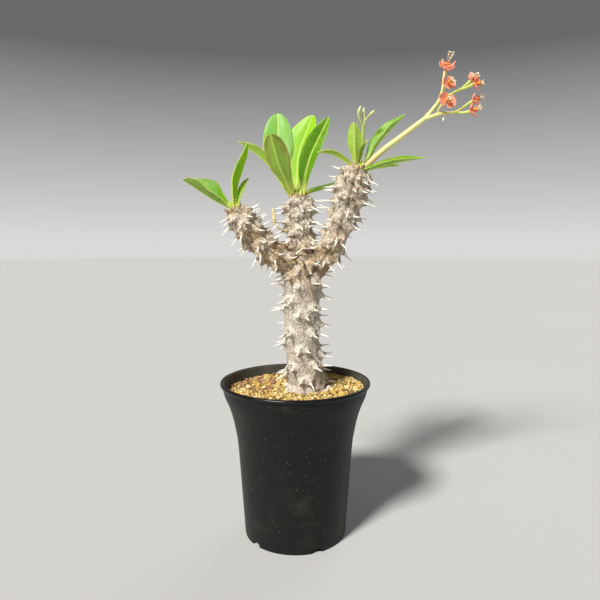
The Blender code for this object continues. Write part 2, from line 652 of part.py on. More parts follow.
def make_blade(leaf):
    # The steps along the blade get shorter towards its tip
    face, fold = Vector(leaf["face"]), math.radians(leaf["fold"])
    steps = [math.sin(math.pi / 2 * i / LEAF_STEPS) for i in range(LEAF_STEPS + 1)]
    path = [curve_at(vectors(leaf["rib"]), t) for t in steps]
    upper, lower = [], []
    for i, (centre, _, normal, across) in enumerate(frames_along(path, face)):
        t = steps[i]
        half = blade_half_width(min(t, BLUNT_TIP), leaf["width"], leaf["tip"])
        stalk = max(0, 1 - t / PETIOLE_SHARE)
        opening = fold * (1 - PETIOLE_FLATNESS * stalk)
        rib_depth = BLADE_THICKNESS / 2 + RIB_DEPTH * (1 - t) ** 1.3
        edge_depth = BLADE_THICKNESS / 2 + 0.4 * stalk * RIB_DEPTH
        over, under = [], []
        for part in LEAF_PARTS:
            out = abs(part) * half
            wave = leaf.get("wave", 0) * MM * abs(part) * math.sin(11 * t + part)
            rise = out * math.sin(opening) - BLADE_DROOP * part**2 * half + wave
            place = centre + across * math.copysign(out * math.cos(opening), part) + normal * rise
            over.append(place + normal * (BLADE_THICKNESS / 2 + 0.5 * stalk * RIB_DEPTH))
            under.append(place - normal * (edge_depth if part else rib_depth))
        upper.append(over)
        lower.append(under)
    return sheet(upper, lower)


def make_crown(name, crown, look, passages=()):
    top, axis = limb_end(crown["limb"])
    radius = crown["core_radius"] * MM
    profile = [
        (0, -CORE_PLUG), (radius, -CORE_PLUG), (radius, CORE_SHOULDER), (0.75 * radius, 0.6 * CORE_DOME),
        (0.4 * radius, 0.92 * CORE_DOME), (0, CORE_DOME),
    ]
    core = add_object(f"leaves_{name}", *turned(profile, CORE_SIDES, top, axis))
    blades = [add_object("leaf", *make_blade(leaf)) for leaf in crown["leaves"]]
    boolean(core, blades, "UNION")
    if passages:
        boolean(core, [round_cutter(*passage) for passage in passages], "DIFFERENCE")
    tidy_mesh(core, look, 60)
    return core


def run_passage(run, length):
    # The plain hole, as a cutter's start, direction, radius and depths, in which a run's foot stands
    points = vectors(run["points"])
    direction = (curve_at(points, 0.08) - points[0]).normalized()
    return points[0], direction, run["radii"][0] * MM + GAP, GAP, length


def pedicels():
    # Each ends square to its bloom's axis
    runs = []
    for bloom in BLOOMS:
        points = [*bloom["pedicel"], bloom["at"]]
        axis = Vector(bloom["axis"]).normalized()
        runs.append({"points": points, "radii": PEDICEL_RADII, "steps": PEDICEL_STEPS, "end_axis": axis})
    return runs


def make_runs(name, runs, sides, look):
    tubes = []
    for run in runs:
        shape = tube(run["points"], run["radii"], sides, run["steps"], run.get("end_axis"))
        tubes.append(add_object(name, *shape))
    boolean(tubes[0], tubes[1:], "UNION")
    tidy_mesh(tubes[0], look, 50)
    return tubes[0]


def bloom_frame(bloom):
    axis = Vector(bloom["axis"]).normalized()
    first = Vector(bloom["bract"])
    first = (first - axis * first.dot(axis)).normalized()
    return Vector(bloom["at"]) * MM + axis * GAP, axis, first, axis.cross(first)


def make_bracts(name, bloom, look):
    # Two rounded bracts on a small collar round the top of the pedicel
    at, axis, first, _ = bloom_frame(bloom)
    profile = [(0, 0), (COLLAR_RADIUS, 0), (COLLAR_RADIUS, COLLAR_HEIGHT), (0, COLLAR_HEIGHT)]
    collar = add_object(name, *turned(profile, BLOOM_SIDES, at, axis))
    spread = math.radians(bloom["spread"])
    blades = []
    for out, height in ((first, BRACT_HEIGHTS[0]), (-first, BRACT_HEIGHTS[1])):
        reach = axis * math.cos(spread) + out * math.sin(spread)
        root = at + axis * height + out * 0.5 * COLLAR_RADIUS
        bend = root + out * BRACT_ROOT + axis * BRACT_ROOT_RISE
        rib = [root, bend, bend + reach * (BRACT_LENGTH * bloom["size"] - BRACT_ROOT)]
        shape = make_bract(rib, axis * 1.2 - out, BRACT_WIDTH * bloom["size"] / 2)
        blades.append(add_object("bract", *shape))
    boolean(collar, blades, "UNION")
    tidy_mesh(collar, look, 60)


def make_bract(rib, face, widest):
    # A rounded blade, cupped to its upper side
    path = [curve_at(rib, i / BRACT_STEPS) for i in range(BRACT_STEPS + 1)]
    upper, lower = [], []
    for i, (centre, _, normal, across) in enumerate(frames_along(path, face)):
        round_off = math.sin(math.pi * (0.12 + 0.81 * i / BRACT_STEPS)) ** 0.6
        half = BRACT_ROOT_HALF + (widest - BRACT_ROOT_HALF) * round_off
        places = [centre + (across * part + normal * abs(part) * BRACT_CUPPING) * half for part in (-1, 0, 1)]
        upper.append([place + normal * BRACT_THICKNESS / 2 for place in places])
        lower.append([place - normal * BRACT_THICKNESS / 2 for place in places])
    return sheet(upper, lower)


def make_bloom_centre(name, bloom, look):
    # A flared cup with stamens standing out of its mouth
    at, axis, first, second = bloom_frame(bloom)
    base = at + axis * (COLLAR_HEIGHT + GAP)
    profile = [
        (0, 0), (0.5 * CUP_RADIUS, 0), (0.7 * CUP_RADIUS, 0.5 * CUP_HEIGHT), (CUP_RADIUS, 0.85 * CUP_HEIGHT),
        (0.8 * CUP_RADIUS, CUP_HEIGHT), (0, 0.85 * CUP_HEIGHT),
    ]
    cup = add_object(name, *turned(profile, BLOOM_SIDES, base, axis))
    stamens = []
    for i in range(STAMENS):
        angle = math.tau * i / STAMENS
        out = first * math.cos(angle) + second * math.sin(angle)
        foot = base + axis * 0.5 * CUP_HEIGHT + out * 0.35 * CUP_RADIUS
        lean = (axis + out * STAMEN_LEAN).normalized()
        reach = bloom["stamens"] * (0.8 + 0.2 * (i % 2)) * MM + 0.4 * CUP_HEIGHT
        profile = [(0, 0), (0.6 * STAMEN_RADIUS, 0), (STAMEN_RADIUS, 0.85 * reach), (0, reach)]
        stamens.append(add_object("stamen", *turned(profile, STAMEN_SIDES, foot, lean)))
    boolean(cup, stamens, "UNION")
    tidy_mesh(cup, look, 50)


def main():
    clear_scene()
    leaf_look = material("leaf", LEAF_GREEN)
    stalk_look = material("stalk", STALK_GREEN)
    bract_look = material("bract", BRACT_PINK)
    cup_look = material("cup", CUP_ORANGE)
    dried_look = material("dried", DRIED_TAN)
    make_pot(material("pot", BLACK_PLASTIC))
    soil = make_soil(material("soil", SOIL))
    stalk = make_runs("flower_stalk", STALK_RUNS + pedicels(), STALK_SIDES, stalk_look)
    buds = make_runs("bud_spray", BUD_RUNS, BUD_SIDES, stalk_look)
    passages = {"right": [run_passage(STALK_RUNS[0], STALK_HOLE), run_passage(BUD_RUNS[0], BUD_HOLE)]}
    crowns = [make_crown(name, crown, leaf_look, passages.get(name, ())) for name, crown in CROWNS.items()]
    dried = []
    for name, run in (("dried_stalk", DRIED_STALK), ("dried_leaf", DRIED_LEAF)):
        shape = tube(run["points"], run["radii"], DRIED_SIDES, run["steps"])
        dried.append(add_object(name, *shape, dried_look, 50))
    make_stem(material("bark", BARK), [soil, stalk, buds, *crowns, *dried])
    for i, bloom in enumerate(BLOOMS, 1):
        make_bracts(f"bloom_{i}_bracts", bloom, bract_look)
        make_bloom_centre(f"bloom_{i}_centre", bloom, cup_look)


main()
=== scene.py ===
import json
import math
import random

import bmesh
import bpy
import numpy as np
from mathutils import Euler, Matrix, Vector, noise
from mathutils.bvhtree import BVHTree
from mathutils.kdtree import KDTree

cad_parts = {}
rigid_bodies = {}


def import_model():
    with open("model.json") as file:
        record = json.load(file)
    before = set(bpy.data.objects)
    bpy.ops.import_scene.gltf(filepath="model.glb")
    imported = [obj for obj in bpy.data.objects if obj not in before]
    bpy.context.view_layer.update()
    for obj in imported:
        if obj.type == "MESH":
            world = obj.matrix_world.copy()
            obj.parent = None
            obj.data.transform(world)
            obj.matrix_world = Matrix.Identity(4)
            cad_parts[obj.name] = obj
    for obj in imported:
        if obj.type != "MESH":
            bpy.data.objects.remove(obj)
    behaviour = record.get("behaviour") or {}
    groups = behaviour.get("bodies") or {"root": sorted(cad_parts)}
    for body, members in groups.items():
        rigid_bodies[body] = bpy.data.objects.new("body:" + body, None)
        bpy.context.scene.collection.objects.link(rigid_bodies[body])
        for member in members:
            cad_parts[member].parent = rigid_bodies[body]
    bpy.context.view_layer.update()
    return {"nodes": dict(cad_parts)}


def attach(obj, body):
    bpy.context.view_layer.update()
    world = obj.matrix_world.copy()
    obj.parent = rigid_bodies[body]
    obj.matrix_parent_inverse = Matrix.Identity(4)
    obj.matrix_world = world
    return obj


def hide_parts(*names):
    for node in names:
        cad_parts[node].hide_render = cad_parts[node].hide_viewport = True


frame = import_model()
mm = 0.001


# Shader maths as plain sums
class Wire:
    def __init__(self, finish, socket):
        self.finish = finish
        self.socket = socket

    def join(self, operation, first, second=0.0):
        return self.finish.node("Math", {"operation": operation}, {0: first, 1: second})

    def __add__(self, other):
        return self.join("ADD", self, other)

    def __sub__(self, other):
        return self.join("SUBTRACT", self, other)

    def __rsub__(self, other):
        return self.join("SUBTRACT", other, self)

    def __mul__(self, other):
        return self.join("MULTIPLY", self, other)

    def __truediv__(self, other):
        return self.join("DIVIDE", self, other)

    def __abs__(self):
        return self.join("ABSOLUTE", self)

    def folded(self, top):
        # Up to the top and back down, over and over
        return self.join("PINGPONG", self, top)

    __radd__ = __add__


class Finish:
    # One material: its constants are set on the shader, and the rest is built from nodes
    def __init__(self, name, **constants):
        self.material = bpy.data.materials.new(name)
        self.material.use_nodes = True
        self.tree = self.material.node_tree
        self.shader = self.tree.nodes["Principled BSDF"]
        for socket, value in constants.items():
            self.shader.inputs[socket.replace("_", " ")].default_value = value

    def node(self, kind, settings=None, sockets=None, output=0):
        made = self.tree.nodes.new("ShaderNode" + kind)
        for name, value in (settings or {}).items():
            setattr(made, name, value)
        for name, value in (sockets or {}).items():
            if isinstance(value, Wire):
                self.tree.links.new(value.socket, made.inputs[name])
            else:
                made.inputs[name].default_value = value
        return Wire(self, made.outputs[output])

    def feed(self, socket, wire):
        self.tree.links.new(wire.socket, self.shader.inputs[socket])

    def place(self):
        return self.node("TexCoord", output="Object")

    def stretched(self, scale):
        return self.node("Mapping", {}, {"Vector": self.place(), "Scale": scale})

    def clouds(self, size, detail=3.0, roughness=0.55, vector=None, distortion=0.0):
        # Soft noise from 0 to 1, with lumps of that size in millimetres
        sockets = {"Vector": vector or self.place(), "Scale": 1 / (size * mm), "Detail": detail,
                   "Roughness": roughness, "Distortion": distortion}
        return self.node("TexNoise", {}, sockets)

    def cells(self, size, feature="F1", vector=None):
        sockets = {"Vector": vector or self.place(), "Scale": 1 / (size * mm)}
        return self.node("TexVoronoi", {"feature": feature}, sockets, "Distance")

    def mark(self, name):
        return self.node("Attribute", {"attribute_name": name}, output="Fac")

    def step(self, value, low, high):
        # 0 below low, 1 above high and smooth between; it falls where low is over high
        sockets = {"Value": value, "From Min": low, "From Max": high}
        return self.node("MapRange", {"interpolation_type": "SMOOTHSTEP"}, sockets)

    def blend(self, amount, first, second):
        colours = {6: first, 7: second}
        for name, value in colours.items():
            if not isinstance(value, Wire):
                colours[name] = (*value, 1)
        return self.node("Mix", {"data_type": "RGBA"}, {0: amount, **colours}, 2)

    def paint(self, colour, *coats):
        # Each coat lies over the colours before it, as far as its amount says
        for amount, coat in coats:
            colour = self.blend(amount, colour, coat)
        self.feed("Base Color", colour)

    def bump(self, height, distance, strength=1.0):
        sockets = {"Height": height, "Distance": distance * mm, "Strength": strength}
        self.feed("Normal", self.node("Bump", {}, sockets))


# Shapes shared by the pieces below
flat = Vector((1, 0, 0)), Vector((0, 1, 0))
spiral = 2.4  # turn from one leaf, scale or stamen to the next, in radians


def toMetres(points):
    return [Vector(point) * mm for point in points]


def lengths(numbers):
    return [number * mm for number in numbers]


def towards(side, second, turn):
    # The direction at that turn from one side to the second
    return side * math.cos(turn) + second * math.sin(turn)


def sidesOf(direction):
    side = direction.orthogonal().normalized()
    return side, direction.cross(side)


def curveAt(points, t):
    # The place at t, from 0 to 1, on a smooth run through points or plain numbers
    last = len(points) - 1
    i = min(int(t * last), last - 1)
    u = t * last - i
    start, end = points[i], points[i + 1]
    before = points[i - 1] if i else start * 2 - end
    after = points[i + 2] if i + 2 <= last else end * 2 - start
    return (
        start * 2 + (end - before) * u + (before * 2 - start * 5 + end * 4 - after) * u**2
        + (start * 3 - before - end * 3 + after) * u**3
    ) * 0.5


def runLength(points):
    samples = [curveAt(points, i / 40) for i in range(41)]
    return sum((b - a).length for a, b in zip(samples, samples[1:]))


def framesAlong(path, side, endAxis=None):
    # Each point with its tangent, a side and a second side, carried along without twist
    frames = []
    last = len(path) - 1
    for i, point in enumerate(path):
        tangent = (path[min(i + 1, last)] - path[max(i - 1, 0)]).normalized()
        if endAxis and i == last:
            tangent = endAxis
        side = (side - tangent * side.dot(tangent)).normalized()
        frames.append((point, tangent, side, tangent.cross(side)))
    return frames


def ringAt(centre, side, second, radius, sides):
    return [centre + towards(side, second, math.tau * j / sides) * radius for j in range(sides)]


def skin(rings):
    # A closed skin over rings; a ring of one point is a tip, and other ends get a flat cap
    points = [point for ring in rings for point in ring]
    faces = []
    low = 0
    for ring, after in zip(rings, rings[1:]):
        high = low + len(ring)
        sides = max(len(ring), len(after))
        for j in range(sides):
            k = (j + 1) % sides
            if len(ring) == 1:
                faces.append((low, high + k, high + j))
            elif len(after) == 1:
                faces.append((low + j, low + k, high))
            else:
                faces.append((low + j, low + k, high + k, high + j))
        low = high
    if len(rings[0]) > 1:
        faces.append(tuple(reversed(range(len(rings[0])))))
    if len(rings[-1]) > 1:
        faces.append(tuple(range(low, low + len(rings[-1]))))
    return points, faces


def lathe(profile, sides, at=Vector((0, 0, 0)), axis=Vector((0, 0, 1))):
    # A solid turned about an axis from (radius, height) pairs, in millimetres
    turn = axis.to_track_quat("Z", "Y")
    side, second = (turn @ way for way in flat)
    rings = []
    for radius, height in profile:
        centre = at + axis * (height * mm)
        rings.append(ringAt(centre, side, second, radius * mm, sides) if radius else [centre])
    return skin(rings)


def tube(run, radii, sides, steps, endAxis=None, relief=0.0):
    # A round run through points in metres; the relief wrinkles it
    path = [curveAt(run, i / steps) for i in range(steps + 1)]
    start = (run[1] - run[0]).cross(Vector((0, 0.3, 1))).normalized()
    rings = []
    for i, (centre, _, side, second) in enumerate(framesAlong(path, start, endAxis)):
        ring = ringAt(centre, side, second, curveAt(radii, i / steps), sides)
        if relief:
            ring = [point + (point - centre) * relief * noise.noise(point / (1.2 * mm)) for point in ring]
        rings.append(ring)
    return skin(rings)


def sheet(upper, lower):
    # A closed thin blade between two grids of points
    rows, columns = len(upper), len(upper[0])
    points = [point for row in upper + lower for point in row]
    under = rows * columns
    faces = []
    for i in range(rows - 1):
        for j in range(columns - 1):
            a, b = i * columns + j, (i + 1) * columns + j
            faces.append((a, a + 1, b + 1, b))
            faces.append((under + a, under + b, under + b + 1, under + a + 1))
    for j in range(columns - 1):
        a, b = j, (rows - 1) * columns + j
        faces.append((a, under + a, under + a + 1, a + 1))
        faces.append((b, b + 1, under + b + 1, under + b))
    for i in range(rows - 1):
        a, b = i * columns, (i + 1) * columns
        c, d = a + columns - 1, b + columns - 1
        faces.append((a, b, under + b, under + a))
        faces.append((c, under + c, under + d, d))
    return points, faces


class Heap:
    # Gathers many closed shapes, with the marks of their points, in one mesh
    def __init__(self):
        self.points = []
        self.faces = []
        self.marks = {}

    def add(self, shape, **marks):
        points, faces = shape
        start = len(self.points)
        self.points += points
        self.faces += [tuple(start + corner for corner in face) for face in faces]
        for name, values in marks.items():
            if not hasattr(values, "__len__"):
                values = [values] * len(points)
            self.marks.setdefault(name, []).extend(values)


def newMesh(name, points, faces):
    # A mesh with the faces of every closed part turned outwards
    mesh = bpy.data.meshes.new(name)
    mesh.from_pydata(points, [], faces)
    shape = bmesh.new()
    shape.from_mesh(mesh)
    bmesh.ops.recalc_face_normals(shape, faces=shape.faces)
    shape.to_mesh(mesh)
    shape.free()
    return mesh


def putIn(name, data):
    made = bpy.data.objects.new(name, data)
    bpy.context.scene.collection.objects.link(made)
    return made


def worked(draft):
    # The mesh that the draft's modifiers give; the draft goes
    bpy.context.view_layer.update()
    made = bpy.data.meshes.new_from_object(draft.evaluated_get(bpy.context.evaluated_depsgraph_get()))
    bpy.data.objects.remove(draft, do_unlink=True)
    return made


def addPiece(name, heap, finish, replaced=(), sharp=None):
    finishPiece(name, newMesh(name, heap.points, heap.faces), heap.marks, finish, replaced, sharp)


def finishPiece(name, mesh, marks, finish, replaced, sharp=None):
    for mark, values in marks.items():
        mesh.attributes.new(mark, "FLOAT", "POINT").data.foreach_set("value", list(values))
    mesh.materials.clear()
    mesh.materials.append(finish.material)
    mesh.shade_smooth()
    if sharp:
        mesh.set_sharp_from_angle(angle=math.radians(sharp))
    piece = putIn(name, mesh)
    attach(piece, "root")
    if replaced:
        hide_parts(*replaced)


def fused(heap, voxel):
    # One closed skin round all the heap's shapes, by a remesh with voxels of that size in millimetres
    draft = putIn("fused", newMesh("fused", heap.points, heap.faces))
    remesh = draft.modifiers.new("Fuse", "REMESH")
    remesh.mode, remesh.voxel_size = "VOXEL", voxel * mm
    smooth = draft.modifiers.new("Smooth", "SMOOTH")
    smooth.factor, smooth.iterations = 0.5, 3
    return worked(draft)


def pointsOf(mesh, kind="co"):
    values = np.zeros(len(mesh.vertices) * 3, np.float32)
    mesh.vertices.foreach_get(kind, values)
    return values.reshape(-1, 3)


def treeOf(spots):
    tree = KDTree(len(spots))
    for i, spot in enumerate(spots):
        tree.insert(spot, i)
    tree.balance()
    return tree


def distancesTo(places, spots):
    # From each place to the nearest spot, in millimetres
    tree = treeOf(spots)
    return np.array([tree.find(place)[2] for place in places]) / mm


def falloff(distances, reach):
    return np.exp(-((distances / reach) ** 2))


def turbulence(places, size, octaves, offset):
    shift = Vector((offset, offset, offset))
    return np.array([noise.fractal(Vector(p) / (size * mm) + shift, 0.9, 2.0, octaves) for p in places])


# Pot: black plastic with a rolled lip and drain channels
pot = {
    "sides": 144, "outlineSteps": 40, "rim": 52.5, "height": 110, "wall": 1.4, "floor": 5, "lip": 3,
    "outline": [
        (35.8, 0), (37.2, 20), (40.2, 63), (42.2, 77), (43.9, 85), (46.1, 92.5), (49.4, 100.5), (51, 107),
    ],
    "rollRadii": (0.47, 0.5), "rollSteps": 12, "rollTurns": (-70, 250),  # radii as shares of the lip
    "drains": 5, "drainTurn": 222, "drainWidth": 7, "drainDepth": 3, "drainStart": 13,
    "holeRadius": 3.5, "holeAt": 25, "holeSides": 32,
}


def potWallRadius(height):
    # Outer radius of the wall at a height, in millimetres
    for (r0, z0), (r1, z1) in zip(pot["outline"], pot["outline"][1:]):
        if height <= z1:
            return r0 + (r1 - r0) * (height - z0) / (z1 - z0)
    return pot["outline"][-1][0]


def potFinish():
    finish = Finish("blackPlastic", Specular_IOR_Level=0.22)
    mottle = finish.clouds(9, 4)
    fine = finish.clouds(0.8, 3, 0.65)
    rings = finish.clouds(2.4, 3, vector=finish.stretched((0.03, 0.03, 1)))
    dusty = finish.step(finish.clouds(24, 4, 0.65), 0.5, 0.75)
    specks = finish.step(finish.cells(2.6), 0.12, 0.05) * finish.step(finish.clouds(7, 2), 0.42, 0.6)
    inside, lip = finish.mark("inside"), finish.mark("lip")
    finish.paint(
        (0.004, 0.004, 0.0038), (mottle, (0.009, 0.0088, 0.0084)),
        (finish.step(fine, 0.56, 0.7) * 0.4, (0.035, 0.032, 0.026)),
        # The paler inside of the wall is partly dust and partly a painted reflection of light on the inner
        # wall; the smudges outside are dust
        (dusty * 0.1 + inside * 0.9 * mottle, (0.15, 0.14, 0.105)),
        (specks * 0.6, (0.45, 0.40, 0.3)),
    )
    finish.feed("Roughness", 0.42 + mottle * 0.1 + dusty * 0.1 + inside * 0.2 - lip * 0.17)
    finish.bump(rings * 0.5 + fine * 0.4 + specks * 0.3, 0.14, 0.8)
    return finish


def potProfile():
    # From the middle of the foot up the wall, over the lip and down to the middle of the floor
    steps, lip, floor = pot["outlineSteps"], pot["lip"], pot["floor"]
    outline = [Vector((radius, height, 0)) for radius, height in pot["outline"]]
    outer = [curveAt(outline, i / steps).xy for i in range(steps + 1)]
    inner = [Vector((point.x - pot["wall"], point.y)) for point in reversed(outer) if point.y > floor + 0.5]
    wide, high = pot["rollRadii"]
    middle = Vector((pot["rim"] - wide * lip, pot["height"] - high * lip))
    start, swing = pot["rollTurns"]
    roll = []
    for i in range(pot["rollSteps"] + 1):
        turn = math.radians(start + swing * i / pot["rollSteps"])
        roll.append(middle + Vector((math.cos(turn) * wide, math.sin(turn) * high)) * lip)
    edge = potWallRadius(floor) - pot["wall"]
    return [(0, 0), (outer[0].x - 0.6, 0), (outer[0].x, 0.5), *outer[1:], *roll, *inner,
            (edge, floor + 1), (edge - 1, floor), (0, floor)]


def drainShapes():
    # For each drain, an arched channel under the floor and a hole up through it
    half, depth = pot["drainWidth"] / 2, pot["drainDepth"]
    arch = [(-half, -1), (half, -1), (half, 0.6 * depth), (0.6 * half, depth), (-0.6 * half, depth),
            (-half, 0.6 * depth)]
    for i in range(pot["drains"]):
        turn = Matrix.Rotation(math.radians(pot["drainTurn"]) + math.tau * i / pot["drains"], 3, "Z")
        yield skin([[turn @ Vector((x, y, z)) * mm for y, z in arch] for x in (pot["drainStart"], pot["rim"])])
        at = turn @ Vector((pot["holeAt"], 0, 0)) * mm
        yield skin([ringAt(at + Vector((0, 0, z * mm)), *flat, pot["holeRadius"] * mm, pot["holeSides"])
                    for z in (0.5 * depth, 2 * pot["floor"])])


def makePot():
    body = putIn("potDraft", newMesh("potWall", *lathe(potProfile(), pot["sides"])))
    cutters = bpy.data.collections.new("drains")
    bpy.context.scene.collection.children.link(cutters)
    for shape in drainShapes():
        cutters.objects.link(bpy.data.objects.new("drain", newMesh("drain", *shape)))
    cut = body.modifiers.new("Drains", "BOOLEAN")
    cut.operand_type, cut.collection, cut.solver = "COLLECTION", cutters, "EXACT"
    done = worked(body)
    for used in list(cutters.objects):
        bpy.data.objects.remove(used, do_unlink=True)
    bpy.data.collections.remove(cutters)
    places = pointsOf(done) / mm
    heights = places[:, 2]
    walls = np.array([potWallRadius(z) for z in heights])
    inside = (np.hypot(places[:, 0], places[:, 1]) < walls - 0.9) & (heights > pot["floor"] - 0.5)
    onLip = heights > pot["height"] - pot["lip"] - 0.3
    marks = {"inside": inside.astype(float), "lip": onLip.astype(float)}
    finishPiece("plantPot", done, marks, potFinish(), ("pot",), 35)


# Soil: a bed of fine crumbs under rounded ochre granules of several sizes
soil = {
    "seed": 11, "level": 104.6, "slope": 0.035, "bedDrop": 1.3, "bedSides": 120, "bedRings": 26, "wallGap": 0.3,
    "footAt": (8, 0), "footRadius": 13.7, "footFloor": 81.5, "trunkRadius": 12.9,
    "sizes": [(4.4, 16), (3.1, 90), (2.2, 700), (1.6, 2300), (1.15, 5200)],  # width and how many are tried
    "lumps": [(19.5, -18, 6.2), (26.5, -17, 5.4), (31.5, -22, 5.6), (-28, -8, 4.8)],  # place and width
    "fineBelow": 1.3, "chips": 7, "chipDepths": (0.45, 0.9), "tries": 5, "apart": 0.43, "cell": 6,
    "crustReach": 4.5,  # from the trunk
    "colours": {
        "ochre": ((0.47, 0.30, 0.06), (0.78, 0.55, 0.17), 0.5),
        "pale": ((0.66, 0.49, 0.19), (0.92, 0.78, 0.45), 0.26),
        "brown": ((0.13, 0.07, 0.025), (0.42, 0.26, 0.09), 0.18),
        "red": ((0.22, 0.10, 0.055), (0.42, 0.23, 0.13), 0.06),
        "crust": ((0.60, 0.46, 0.37), (0.86, 0.77, 0.68), 0.0),
    },
}


def soilTop(x, y):
    # Height of the bed in millimetres
    lumps = noise.fractal(Vector((x, y, 0)) / 9, 0.8, 2.0, 3)
    return soil["level"] + soil["slope"] * x - soil["bedDrop"] + 0.5 * lumps


def soilReach(height):
    return potWallRadius(height) - pot["wall"] - soil["wallGap"]


def grainFinish(name, dark, light):
    finish = Finish("grain_" + name, Roughness=0.92, Specular_IOR_Level=0.25)
    each = finish.node("NewGeometry", output="Random Per Island")
    speckle = finish.clouds(0.45, 3, 0.7)
    stain = finish.clouds(2.2, 3)
    finish.paint(
        dark, (each * 0.75 + stain * 0.3, light),
        (finish.step(speckle, 0.42, 0.7) * 0.5, tuple(0.45 * part for part in dark)),
        (finish.step(speckle, 0.42, 0.3) * 0.35, (0.85, 0.72, 0.48)),
    )
    finish.bump(speckle + stain * 0.6, 0.2, 0.8)
    return finish


def bedFinish():
    finish = Finish("soilBed", Roughness=0.97, Specular_IOR_Level=0.2)
    crumbs = finish.cells(1.1)
    # The dark at the edges of the crumbs is painted shade in the low gaps between them
    finish.paint((0.22, 0.13, 0.045), (finish.clouds(5, 4), (0.5, 0.33, 0.115)),
                 (finish.step(crumbs, 0.3, 0.75), (0.075, 0.045, 0.018)))
    finish.bump(1 - crumbs, 0.5)
    return finish


def makeSoilBed():
    foot = Vector((*soil["footAt"], 0))
    depth = pot["floor"] + soil["wallGap"]
    sides = ringAt(Vector((0, 0, 0)), *flat, 1, soil["bedSides"])
    reach = soilReach(soil["level"])
    walls = [[z] * len(sides)
             for z in [depth, *[height for _, height in pot["outline"] if depth < height < soil["level"] - 4]]]
    walls.append([soilTop(*(side * reach).xy) for side in sides])
    rings = [[Vector((0, 0, depth))]]
    for heights in walls:
        rings.append([side * soilReach(z) + Vector((0, 0, z)) for side, z in zip(sides, heights)])
    for i in range(1, soil["bedRings"] + 1):
        inward = i / soil["bedRings"]
        radius = reach * (1 - inward) + soil["footRadius"] * inward
        ring = [foot * inward + side * radius for side in sides]
        rings.append([Vector((p.x, p.y, soilTop(p.x, p.y))) for p in ring])
    holeFloor = foot + Vector((0, 0, soil["footFloor"]))
    rings += [[holeFloor + side * soil["footRadius"] for side in sides], [holeFloor]]
    heap = Heap()
    heap.add(skin([[point * mm for point in ring] for ring in rings]))
    addPiece("soilBed", heap, bedFinish(), ("soil",))


def roundGrain(level):
    ball = bpy.data.meshes.new("grain")
    shape = bmesh.new()
    bmesh.ops.create_icosphere(shape, subdivisions=level, radius=1)
    shape.to_mesh(ball)
    shape.free()
    return pointsOf(ball).astype(float), [tuple(face.vertices) for face in ball.polygons]


def grainPoints(ball, width, draw):
    # A ball chipped by a few flat cuts, squeezed and turned
    cut = np.ones(len(ball))
    for _ in range(soil["chips"]):
        facing = np.array(Vector([draw.gauss(0, 1) for _ in range(3)]).normalized())
        depth = draw.uniform(*soil["chipDepths"])
        cut = np.minimum(cut, depth / np.maximum(ball @ facing, 0.01))
    squeeze = np.array([draw.uniform(0.8, 1.15), draw.uniform(0.8, 1.15), draw.uniform(0.62, 0.95)])
    turn = Euler((draw.uniform(-0.6, 0.6), draw.uniform(-0.6, 0.6), draw.uniform(0, 6.28))).to_matrix()
    return (ball * cut[:, None] * squeeze) @ np.array(turn).T * width / 2


def grainColour(x, y, width, fromTrunk, draw):
    names = list(soil["colours"])
    name = draw.choices(names, [soil["colours"][name][2] for name in names])[0]
    if fromTrunk < soil["trunkRadius"] + soil["crustReach"] and draw.random() < 0.6:
        name = "crust"
    if name == "red" and x > -5 and draw.random() < 0.7 or width > 5:
        name = "ochre"
    if x < -15 and y > 0 and draw.random() < 0.35:
        name = "red"
    return name


def makeGrains():
    # The placed lumps come first, then ever smaller grains, each only where it has room
    draw = random.Random(soil["seed"])
    fineBall, ball = roundGrain(1), roundGrain(2)
    reach, cell = soilReach(soil["level"]), soil["cell"]
    placed = {}
    heaps = {name: Heap() for name in soil["colours"]}
    wanted = soil["lumps"] + [(None, None, width * draw.uniform(0.85, 1.15)) for width, count in soil["sizes"]
                              for _ in range(count)]
    for x, y, width in wanted:
        for _ in range(soil["tries"]):
            if (x, y, width) not in soil["lumps"]:
                radius, turn = reach * math.sqrt(draw.random()), draw.uniform(0, math.tau)
                x, y = radius * math.cos(turn), radius * math.sin(turn)
            near = [other for i in (-1, 0, 1) for j in (-1, 0, 1)
                    for other in placed.get((int(x // cell) + i, int(y // cell) + j), [])]
            crowded = any(math.hypot(x - a, y - b) < soil["apart"] * (width + other) for a, b, other in near)
            fromTrunk = math.hypot(x - soil["footAt"][0], y - soil["footAt"][1])
            fits = math.hypot(x, y) < reach - width * 0.62 and fromTrunk > soil["trunkRadius"] + width * 0.5
            if fits and not crowded:
                break
        else:
            continue
        placed.setdefault((int(x // cell), int(y // cell)), []).append((x, y, width))
        lift = soilTop(x, y) + width * draw.uniform(0.12, 0.3)
        corners, faces = fineBall if width < soil["fineBelow"] else ball
        points = grainPoints(corners, width * 1.15, draw) + np.array([x, y, lift])
        heaps[grainColour(x, y, width, fromTrunk, draw)].add((toMetres(points), faces))
    for name, heap in heaps.items():
        dark, light, _ = soil["colours"][name]
        addPiece("soilGrains_" + name, heap, grainFinish(name, dark, light), sharp=24)


